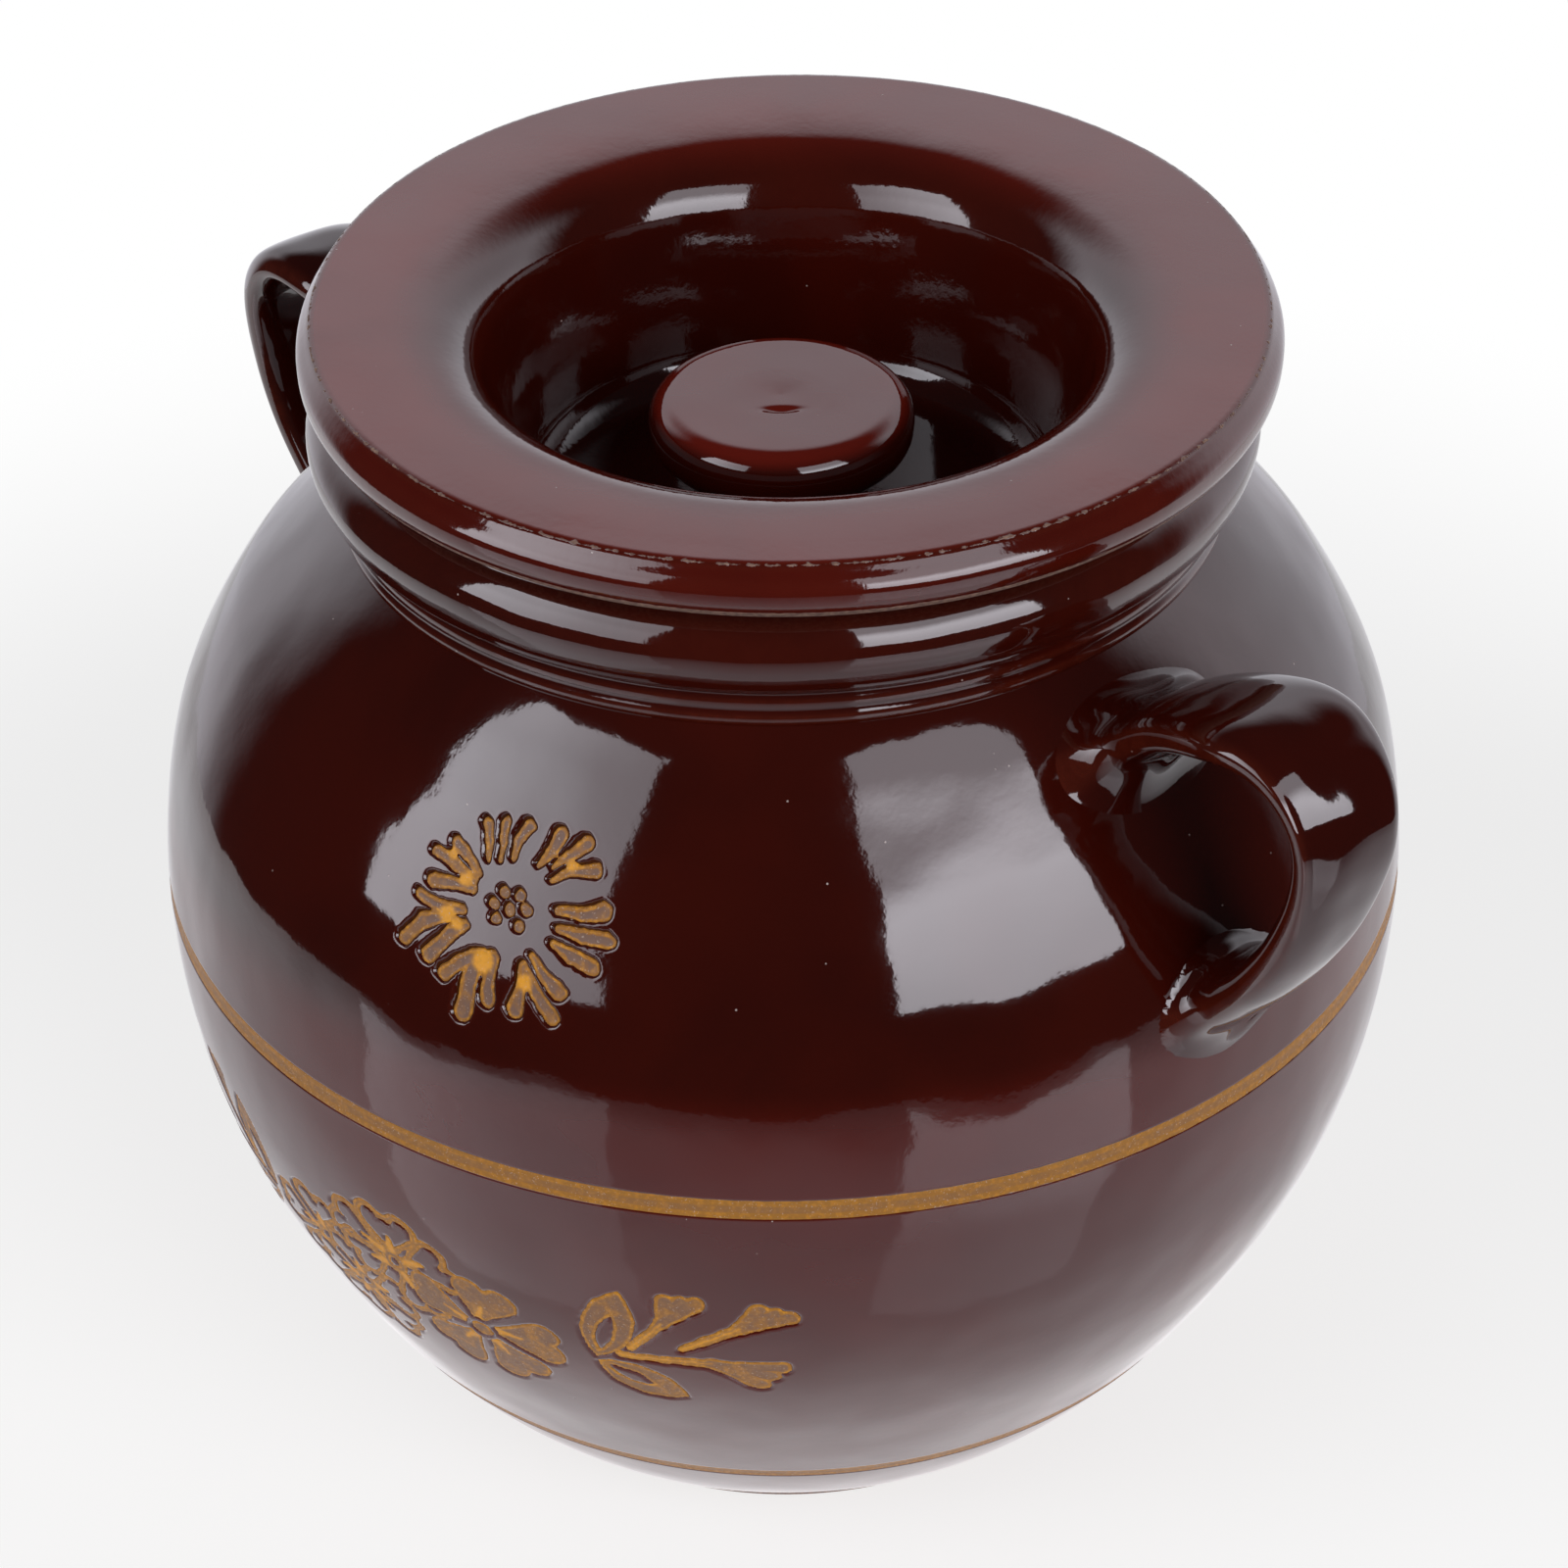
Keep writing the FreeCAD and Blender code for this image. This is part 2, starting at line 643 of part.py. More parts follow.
blossom_size = value("blossom_radius")
line = value("outline_width")
petal_width = PETAL_WIDTH * blossom_size
blossoms = []
covered = None
for number, (place, angles) in enumerate(BLOSSOMS):
    centre = Vector(place[0], place[1], 0) * blossom_size
    whole, inner, margin = (
        [petal(centre, angle, blossom_size, petal_width, inset) for angle in angles]
        for inset in (0.0, line, -line / 2)
    )
    eye = disc(centre, EYE_RADIUS * blossom_size)
    ring = disc(centre, EYE_RING * blossom_size)
    if number == 0:
        drawn = [shape.cut(ring) for shape in whole] + [eye]
    else:
        middle = disc(centre, MIDDLE_RADIUS * blossom_size)
        outlines = [shape.cut(hole) for shape, hole in zip(whole, inner)]
        drawn = [middle.fuse(outlines).removeSplitter().cut(eye)]
    if covered is not None:
        drawn = [shape.cut(covered) for shape in drawn]
    blossoms += [solid for shape in drawn for solid in shape.Solids if solid.Volume > PRISM_HEIGHT]
    shadow = margin[0].fuse(margin[1:] + [disc(centre, MIDDLE_MARGIN * blossom_size)])
    covered = shadow if covered is None else covered.fuse(shadow)


def bud(points, width, lobe):
    """Prism of a bud: a stem that widens, with two lobes at its head."""
    start, neck, left, right = points
    parts = [
        stroke(start, neck, BUD_START * width, width),
        stroke(neck, left, width, lobe),
        stroke(neck, right, width, lobe),
        stroke(neck, (left + right) * 0.5, width, lobe),
    ]
    return parts[0].fuse(parts[1:]).removeSplitter()


# Leaves and buds at the spray's right side: ends in leaf lengths from the middle of their own plane,
# past which the leaves reach towards the blossoms
LEAF_REACH = 0.83
# A leaf's eye in the leaf's own length and width, and a bud's widths in leaf lengths
EYE_START = 0.08
EYE_END = 0.55
EYE_WIDTH = 0.32
BUD_WIDTH = 0.11
BUD_LOBE = 0.16
BUD_START = 0.6
LEAVES = [
    ((-0.72, -0.42), (-0.46, 0.62), 0.5),
    ((-0.72, -0.52), (0.1, -0.94), 0.42),
]
BUDS = [
    ((-0.4, -0.18), (-0.1, 0.24), (-0.05, 0.55), (0.21, 0.55)),
    ((0.06, -0.09), (0.57, 0.25), (0.74, 0.5), (1.0, 0.4)),
    ((-0.5, -0.3), (0.3, -0.28), (0.9, -0.32), (0.72, -0.58)),
]
leaf_size = value("leaf_length")


def side_drawing(sign):
    """Leaves and buds of one side; the other side is its mirror image."""
    def at(point):
        return Vector(sign * point[0], point[1], 0) * leaf_size

    drawn = []
    for base, tip, width in LEAVES:
        first, last = at(base), at(tip)
        along = last - first
        outer = leaf(first, last, width * leaf_size)
        eye = leaf(first + along * EYE_START, first + along * EYE_END, EYE_WIDTH * width * leaf_size)
        drawn.append(outer.cut(eye))
    buds = [bud([at(point) for point in points], BUD_WIDTH * leaf_size, BUD_LOBE * leaf_size) for points in BUDS]
    return drawn, buds


def spray_place(arc):
    """Drawing plane on the belly at a distance round it from the spray's middle."""
    azimuth = value("spray_azimuth") + math.degrees(arc / value("belly_radius"))
    height = "spray_height" if arc == 0 else "spray_height + spray_leaf_rise"
    return (tangent_plane(azimuth, value(height), LOWER_SWELL), LOWER_SWELL, height, SPRAY_HALF * blossom_size)


right_leaves, right_buds = side_drawing(1)
left_leaves, left_buds = side_drawing(-1)
right_reach = (BLOSSOMS[0][0][0] + 1) * blossom_size
left_reach = (1 - BLOSSOMS[3][0][0]) * blossom_size
right_place = spray_place(right_reach + value("spray_right_gap") + LEAF_REACH * leaf_size)
left_place = spray_place(-left_reach - value("spray_left_gap") - LEAF_REACH * leaf_size)
recesses += lay_in("blossom_inlay", [(blossoms, *spray_place(0))])
recesses += lay_in("leaf_inlay", [(right_leaves, *right_place), (left_leaves, *left_place)])
recesses += lay_in("bud_inlay", [(right_buds, *right_place), (left_buds, *left_place)])

# Crock body: the pot with the recesses cut

recess = doc.addObject("Part::Feature", "OrnamentRecess")
recess.Shape = Part.makeCompound(recesses)
crock_body = doc.addObject("Part::Cut", "CrockBody")
crock_body.Base = pot
crock_body.Tool = recess
doc.recompute()
NODES["crock_body"] = crock_body

# Labels, checks and files

for node, item in NODES.items():
    item.Label = node
doc.recompute()
for item in doc.Objects:
    if {"Invalid", "Error"} & set(item.State):
        raise RuntimeError(f"{item.Name} failed: {item.State}")
for node, item in NODES.items():
    if item.Shape.isNull() or not item.Shape.isValid():
        raise RuntimeError(f"{node} has no valid shape")
os.makedirs("parts", exist_ok=True)
for node, item in NODES.items():
    item.Shape.exportStep(f"parts/{node}.step")
    print(node, len(item.Shape.Solids), "solids", round(item.Shape.Volume), "mm3")
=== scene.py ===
"""Looks of a lidded pickle crock in red-brown glaze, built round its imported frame.

Sizes are in millimetres in the row frame: the origin is the centre of the foot, +Z is up and the
front faces -Y. Azimuths are in degrees round +Z from +X. Meshes are written in metres.
"""

from __future__ import annotations

import logging
import math
import sys
from dataclasses import dataclass, field
from enum import Enum

import bpy
import numpy as np
from mathutils import Matrix, Vector


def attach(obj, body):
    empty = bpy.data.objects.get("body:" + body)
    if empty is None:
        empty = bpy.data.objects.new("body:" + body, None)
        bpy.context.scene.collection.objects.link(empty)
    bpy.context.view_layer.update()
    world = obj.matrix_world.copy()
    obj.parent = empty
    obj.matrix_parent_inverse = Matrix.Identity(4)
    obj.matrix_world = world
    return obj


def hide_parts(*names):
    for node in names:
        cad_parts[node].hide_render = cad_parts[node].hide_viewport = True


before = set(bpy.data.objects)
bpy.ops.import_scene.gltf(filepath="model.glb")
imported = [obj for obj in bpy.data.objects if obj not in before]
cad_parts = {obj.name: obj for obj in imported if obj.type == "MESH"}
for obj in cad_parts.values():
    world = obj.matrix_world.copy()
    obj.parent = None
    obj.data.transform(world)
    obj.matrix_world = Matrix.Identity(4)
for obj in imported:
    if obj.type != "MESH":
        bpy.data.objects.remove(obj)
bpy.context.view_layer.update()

log = logging.getLogger("crock")
Array = np.ndarray
Socket = bpy.types.NodeSocket
Material = bpy.types.Material
Piece = bpy.types.Object
Colour = tuple[float, float, float, float]
Pair = tuple[float, float]
Point = Pair
Triple = tuple[float, float, float]
METRES = 0.001
TINY = 1e-9
RICH_EDGE = (-0.3, 0.4)  # distances from a flame or stem between which its slip grows thick
FAR = 99.0  # distance that stands for nothing drawn
GOLDEN_ANGLE = 2.399  # radians, turns each wave of a ripple away from the last
VIEW_AZIMUTH = -43.8  # side on which the crock is looked at
LEVEL_AZIMUTH = VIEW_AZIMUTH + 90  # to the right as seen from there
LIGHT_TINT = (0.985, 0.975, 1.05)
LOW_WARMTH = 0.34  # painted bounce light: how much lighter and redder the glaze is painted on the lower belly, for light thrown up from the table


class Body(Enum):
    """Bodies of the frame."""

    CROCK = "crock"
    COVER = "cover"


class Slot(Enum):
    """Material slots of the record."""

    GLAZE = "red_brown_glaze"
    SLIP = "ochre_slip"


# Numbers as whole arrays


def smooth_step(low: float, high: float, x: Array) -> Array:
    """Rise from 0 to 1 between two numbers along 3t^2 - 2t^3.

    Args:
        low: Where the rise starts.
        high: Where it ends.
        x: Numbers to look up.

    Returns:
        The risen share at each x.
    """
    t = np.clip((x - low) / (high - low), 0.0, 1.0)
    return t * t * (3 - 2 * t)


def ripple(a: Array, b: Array, wavelength: float, seed: float) -> Array:
    """Gentle unevenness: the mean of four sines that run across (a, b) in different directions.

    Args:
        a: First coordinate.
        b: Second coordinate.
        wavelength: Length of the shortest wave.
        seed: Number that turns and shifts the waves.

    Returns:
        Heights from -1 to 1.
    """
    total = np.zeros(np.broadcast(a, b).shape)
    waves, growth, seed_phase, wave_phase = 4, 0.37, 1.7, 2.3
    for k in range(waves):
        turn = GOLDEN_ANGLE * (seed + k)
        across = a * math.cos(turn) + b * math.sin(turn)
        length = wavelength * (1 + growth * k)
        total += np.sin(across * 2 * math.pi / length + seed_phase * seed + wave_phase * k)
    return total / waves


def natural_spline(knots: Array, values: Array, at: Array) -> Array:
    """Natural cubic spline: the second derivatives solve one tridiagonal system.

    Args:
        knots: Rising parameters.
        values: Knots x components.
        at: Parameters to look up.

    Returns:
        Values at those parameters.
    """
    h = np.diff(knots)
    count = len(knots)
    system, right = np.eye(count), np.zeros(values.shape)
    rows = np.arange(1, count - 1)
    system[rows, rows - 1] = h[:-1]
    system[rows, rows] = 2 * (h[:-1] + h[1:])
    system[rows, rows + 1] = h[1:]
    slopes = np.diff(values, axis=0) / h[:, None]
    right[rows] = 6 * np.diff(slopes, axis=0)
    bend = np.linalg.solve(system, right)
    i = np.clip(np.searchsorted(knots, at) - 1, 0, count - 2)
    width, past, left = h[i][:, None], (at - knots[i])[:, None], (knots[i + 1] - at)[:, None]
    curved = (bend[i] * left**3 + bend[i + 1] * past**3) / (6 * width)
    first = (values[i] / width - bend[i] * width / 6) * left
    second = (values[i + 1] / width - bend[i + 1] * width / 6) * past
    return curved + first + second


def steps(stops: list[float], pitches: list[float]) -> Array:
    """Parameters that run through the stops, each run divided evenly at about its own pitch.

    Args:
        stops: Ends of the runs, rising.
        pitches: Wanted spacing in each run.

    Returns:
        All parameters, the last stop among them.
    """
    runs = []
    for low, high, pitch in zip(stops, stops[1:], pitches):
        count = max(1, round((high - low) / pitch))
        runs.append(low + (high - low) * np.arange(count) / count)
    return np.concatenate([*runs, [stops[-1]]])


# Section lines

ARC_STEPS = 40
CORNER_STEPS = 14
FINE_PITCH = 0.05  # spacing at which a line is softened


def arc_run(start: Pair, end: Pair, bow: float) -> Array:
    """Arc between two points that bows to the right of the way by a height.

    Its points are the chord's middle, plus half the chord times sin(t)/sin(T) along it, plus half
    the chord times (cos(t) - cos(T))/sin(T) to the right, where T is twice the angle whose
    tangent is the bow over half the chord.

    Args:
        start: First (radius, height).
        end: Last (radius, height).
        bow: Height of the arc over its chord.

    Returns:
        Points of the arc, without the last.
    """
    first, last = np.array(start[:2]), np.array(end[:2])
    if abs(bow) < TINY:
        return first[None]
    half = (last - first) / 2
    size = np.linalg.norm(half)
    right = np.array([half[1], -half[0]]) / size
    turn = 2 * math.atan(bow / size)
    t = turn * np.linspace(-1, 1, ARC_STEPS + 1)[:-1, None]
    return (first + last) / 2 + half * np.sin(t) / math.sin(turn) + right * size * (
        (np.cos(t) - math.cos(turn)) / math.sin(turn)
    )


def bowed_line(stops: list[Triple]) -> Array:
    """Section line through (radius, height, bow of the run to the next stop).

    Args:
        stops: Points of the section, in order.

    Returns:
        The line's points.
    """
    runs = [arc_run(a, b, a[2]) for a, b in zip(stops, stops[1:])]
    return np.concatenate([*runs, [stops[-1][:2]]])


def rounded_line(corners: list[Triple]) -> Array:
    """Section line through (radius, height, rounding radius): each corner is cut by its circle.

    Args:
        corners: Corners of the section, in order.

    Returns:
        The line's points.
    """
    places = np.array([corner[:2] for corner in corners])
    runs = [places[:1]]
    for before, here, after, corner in zip(places, places[1:], places[2:], corners[1:]):
        back, ahead = before - here, after - here
        back, ahead = back / np.linalg.norm(back), ahead / np.linalg.norm(ahead)
        opening = math.acos(float(np.clip(back @ ahead, -1, 1)))
        cut = corner[2] / math.tan(opening / 2)
        middle = here + (back + ahead) / np.linalg.norm(back + ahead) * (corner[2] / math.sin(opening / 2))
        spread = (math.pi - opening) / 2
        t = np.linspace(-spread, spread, CORNER_STEPS + 1)[:, None]
        toward = (here - middle) / max(np.linalg.norm(here - middle), TINY)
        side = (ahead - back) / np.linalg.norm(ahead - back)
        arc = middle + corner[2] * (toward * np.cos(t) + side * np.sin(t))
        runs.append(arc if cut > TINY else here[None])
    return np.concatenate([*runs, places[-1:]])


def spaced(line: Array, pitch: float, soft: float = 0.0) -> Array:
    """Line at even spacing, each inner point the bell-weighted mean of its neighbours.

    Args:
        line: Points of the section.
        pitch: Wanted spacing.
        soft: Reach of the mean.

    Returns:
        Evenly spaced points with the same ends.
    """
    reach = np.concatenate([[0], np.cumsum(np.linalg.norm(np.diff(line, axis=0), axis=1))])

    def look_up(points: Array, along: Array, at: Array) -> Array:
        """Points at distances along a line."""
        return np.stack([np.interp(at, along, points[:, k]) for k in range(2)], axis=1)

    if soft > 0:
        count = max(2, round(reach[-1] / FINE_PITCH))
        dense = look_up(line, reach, np.linspace(0, reach[-1], count + 1))
        wide = max(1, round(3 * soft / FINE_PITCH))
        bell = np.exp(-0.5 * (np.arange(-wide, wide + 1) * FINE_PITCH / soft) ** 2)
        bell /= bell.sum()
        head = 2 * dense[:1] - dense[wide:0:-1]
        tail = 2 * dense[-1:] - dense[-2 : -wide - 2 : -1]
        padded = np.concatenate([head, dense, tail])
        line = np.stack([np.convolve(padded[:, k], bell, "valid") for k in range(2)], axis=1)
        reach = np.concatenate([[0], np.cumsum(np.linalg.norm(np.diff(line, axis=0), axis=1))])
    count = max(2, round(reach[-1] / pitch))
    return look_up(line, reach, np.linspace(0, reach[-1], count + 1))


def convexity(line: Array, full: float) -> Array:
    """How sharply a section line turns outward at each point, as a share of a full turn.

    Args:
        line: Points of the section.
        full: Turn between two points, in radians, that counts as 1.

    Returns:
        One share for each row, rows x 1.
    """
    turn = np.gradient(np.unwrap(np.arctan2(*np.gradient(line, axis=0).T[::-1])))
    return np.clip(turn / full, 0, 1)[:, None]


# Meshes


def new_piece(name: str, points: Array, faces: list[Array], values: dict[str, Array]) -> Piece:
    """Smooth mesh object at the origin.

    Args:
        name: Name of the piece.
        points: Vertices x 3, in millimetres.
        faces: Arrays of faces x corners.
        values: Numbers to store at the vertices, by name.

    Returns:
        The linked object.
    """
    mesh = bpy.data.meshes.new(name)
    mesh.vertices.add(len(points))
    mesh.vertices.foreach_set("co", (points * METRES).astype(np.float32).ravel())
    corners = np.concatenate([part.ravel() for part in faces]).astype(np.int32)
    sizes = np.concatenate([np.full(len(part), part.shape[1]) for part in faces])
    mesh.loops.add(len(corners))
    mesh.loops.foreach_set("vertex_index", corners)
    mesh.polygons.add(len(sizes))
    mesh.polygons.foreach_set("loop_start", (np.cumsum(sizes) - sizes).astype(np.int32))
    for key, numbers in values.items():
        layer = mesh.attributes.new(key, "FLOAT", "POINT")
        layer.data.foreach_set("value", numbers.astype(np.float32).ravel())
    mesh.update(calc_edges=True)
    mesh.validate()
    mesh.shade_smooth()
    piece = bpy.data.objects.new(name, mesh)
    bpy.context.scene.collection.objects.link(piece)
    return piece


@dataclass
class Lattice:
    """Surface on a grid: rows x columns x 3 points, with numbers at each.

    Args:
        points: Places of the grid's points.
        values: Numbers at the points, rows x columns each.
        start_pole: True if the first row is one point.
        end_pole: True if the last row is one point.
    """

    points: Array
    values: dict[str, Array] = field(default_factory=dict)
    start_pole: bool = False
    end_pole: bool = False

    def flat(self, grid: Array) -> Array:
        """Grid as a list, each pole row as its mean after the others.

        Args:
            grid: Rows x columns, or rows x columns x 3.

        Returns:
            One row for each vertex.
        """
        inner = grid[int(self.start_pole) : len(grid) - int(self.end_pole)]
        poles = [grid[0].mean(axis=0)[None]] * self.start_pole + [grid[-1].mean(axis=0)[None]] * self.end_pole
        return np.concatenate([inner.reshape(-1, *grid.shape[2:]), *poles])

    def build(self, name: str) -> Piece:
        """Piece whose last column meets its first and whose poles are fans.

        Args:
            name: Name of the piece.

        Returns:
            The new object.
        """
        rows = self.points.shape[0] - self.start_pole - self.end_pole
        columns = self.points.shape[1]
        here = np.arange(rows * columns).reshape(rows, columns)
        beside = np.roll(here, -1, axis=1)
        faces = [np.stack([here[:-1], beside[:-1], beside[1:], here[1:]], axis=-1).reshape(-1, 4)]
        pole = np.full(columns, rows * columns)
        if self.start_pole:
            faces.append(np.stack([pole, beside[0], here[0]], axis=-1))
        if self.end_pole:
            faces.append(np.stack([here[-1], beside[-1], pole + int(self.start_pole)], axis=-1))
        values = {key: self.flat(grid) for key, grid in self.values.items()}
        return new_piece(name, self.flat(self.points), faces, values)


def thin_solid(name: str, top: Array, under: Array, kept: Array, values: dict[str, Array]) -> Piece:
    """Closed skin over the kept cells of a grid: its top, its underside turned over, and walls
    between the two along every cell edge whose neighbour isn't kept.

    Args:
        name: Name of the piece.
        top: Rows x columns x 3 points of the upper side.
        under: The same of the lower side.
        kept: Cells to cover, one row and column fewer.
        values: Numbers at the points, rows x columns each.

    Returns:
        The new object.
    """
    used = np.zeros(top.shape[:2], bool)
    for down in (0, 1):
        for across in (0, 1):
            used[down : down + kept.shape[0], across : across + kept.shape[1]] |= kept
    number = np.cumsum(used).reshape(used.shape) - 1
    count = int(used.sum())
    corner = {
        (down, across): number[down : down + kept.shape[0], across : across + kept.shape[1]]
        for down in (0, 1)
        for across in (0, 1)
    }
    way = [(0, 0), (0, 1), (1, 1), (1, 0)]
    upper = np.stack([corner[place][kept] for place in way], axis=-1)
    faces = [upper, upper[:, ::-1] + count]
    framed = np.pad(kept, 1)
    neighbours = [framed[:-2, 1:-1], framed[1:-1, 2:], framed[2:, 1:-1], framed[1:-1, :-2]]
    for side, neighbour in enumerate(neighbours):
        open_edge = kept & ~neighbour
        a, b = corner[way[side]][open_edge], corner[way[(side + 1) % 4]][open_edge]
        faces.append(np.stack([b, a, a + count, b + count], axis=-1))
    points = np.concatenate([top[used], under[used]])
    doubled = {key: np.tile(grid[used], 2) for key, grid in values.items()}
    return new_piece(name, points, faces, doubled)


# Finishes


@dataclass(frozen=True)
class Clouds:
    """Cloudy pattern: a noise that goes from first to last between two of its values.

    Args:
        size: Size of a cloud in millimetres.
        detail: Finer layers.
        warp: How far the clouds are pulled about.
        low: Value of the noise at which the change starts.
        high: Value at which it ends.
        first: Number before the change.
        last: Number after it.
    """

    size: float
    detail: float
    warp: float = 0.0
    low: float = 0.0
    high: float = 1.0
    first: float = 0.0
    last: float = 1.0


class Shader:
    """Material whose nodes are placed and wired one call at a time."""

    def __init__(self, name: str) -> None:
        """Start an empty material.

        Args:
            name: Name of the material.
        """
        self.material = bpy.data.materials.new(name)
        self.material.use_nodes = True
        self.tree = self.material.node_tree
        self.tree.nodes.clear()

    @classmethod
    def over(cls, tree: bpy.types.NodeTree) -> "Shader":
        """Same calls on the emptied tree of a lamp or a world.

        Args:
            tree: The tree to fill.

        Returns:
            A shader without a material.
        """
        made = cls.__new__(cls)
        made.material, made.tree = None, tree
        tree.nodes.clear()
        return made

    def node(self, kind: str, inputs: dict | None = None, **settings: object) -> bpy.types.Node:
        """Add a node.

        Args:
            kind: Node type.
            inputs: Socket names or numbers, each with a value or the socket that feeds it.
            **settings: Properties of the node.

        Returns:
            The new node.
        """
        made = self.tree.nodes.new(kind)
        for key, value in settings.items():
            setattr(made, key, value)
        for key, value in (inputs or {}).items():
            if isinstance(value, Socket):
                self.tree.links.new(value, made.inputs[key])
            else:
                made.inputs[key].default_value = value
        return made

    def place(self) -> Socket:
        """Object coordinates."""
        return self.node("ShaderNodeTexCoord").outputs["Object"]

    def stored(self, name: str) -> Socket:
        """Number stored at the vertices."""
        return self.node("ShaderNodeAttribute", attribute_name=name).outputs["Fac"]

    def noise(self, size: float, detail: float = 2.0, warp: float = 0.0) -> Socket:
        """Cloudy numbers from 0 to 1.

        Args:
            size: Size of a cloud in millimetres.
            detail: Finer layers.
            warp: How far the clouds are pulled about.

        Returns:
            The noise's number.
        """
        inputs = {"Vector": self.place(), "Scale": 1 / (size * METRES), "Detail": detail, "Distortion": warp}
        return self.node("ShaderNodeTexNoise", inputs).outputs["Fac"]

    def clouds(self, pattern: Clouds) -> Socket:
        """Number of a cloudy pattern."""
        noise = self.noise(pattern.size, pattern.detail, pattern.warp)
        return self.spread(noise, pattern.low, pattern.high, pattern.first, pattern.last)

    def sum(self, a: object, b: object, scale: float = 1.0) -> Socket:
        """The number a plus b times a scale."""
        return self.node("ShaderNodeMath", {0: b, 1: scale, 2: a}, operation="MULTIPLY_ADD").outputs[0]

    def times(self, a: object, b: object) -> Socket:
        """The number a times b."""
        return self.node("ShaderNodeMath", {0: a, 1: b}, operation="MULTIPLY").outputs[0]

    def spread(
        self, value: object, low: float, high: float, first: float = 0.0, last: float = 1.0
    ) -> Socket:
        """Number that rises smoothly from first to last as a value goes from low to high.

        Args:
            value: Number or socket.
            low: Value at which the rise starts.
            high: Value at which it ends.
            first: Number before the rise.
            last: Number after it.

        Returns:
            The risen number.
        """
        inputs = {"Value": value, "From Min": low, "From Max": high, "To Min": first, "To Max": last}
        return self.node("ShaderNodeMapRange", inputs, interpolation_type="SMOOTHSTEP").outputs[0]

    def blend(self, share: object, a: object, b: object) -> Socket:
        """Colour between a and b at a share."""
        inputs = {"Factor": share, 6: a, 7: b}
        return self.node("ShaderNodeMix", inputs, data_type="RGBA").outputs[2]

    def bump(self, height: object, depth: float, base: Socket | None = None) -> Socket:
        """Normal bent by a height.

        Args:
            height: Number from 0 to 1.
            depth: Millimetres that 1 stands for.
            base: Normal to start from.

        Returns:
            The bent normal.
        """
        inputs = {"Height": height, "Distance": depth * METRES, "Strength": 1.0}
        if base is not None:
            inputs["Normal"] = base
        return self.node("ShaderNodeBump", inputs).outputs["Normal"]

    def close(self, shader: Socket) -> Material:
        """Wire the shader to the output and return the material."""
        self.node("ShaderNodeOutputMaterial", {"Surface": shader})
        return self.material


def rgb(red: float, green: float, blue: float) -> Colour:
    """Linear colour with full alpha."""
    return (red, green, blue, 1.0)


@dataclass(frozen=True)
class ClayBody:
    """Bare fired stoneware where no glaze lies."""

    light: Colour = rgb(0.32, 0.19, 0.125)
    dark: Colour = rgb(0.15, 0.075, 0.05)
    grain: float = 0.7
    grain_edge: Pair = (0.35, 0.7)  # values of the noise between which dark turns to light
    relief: float = 0.12  # height of the grains
    roughness: float = 0.82


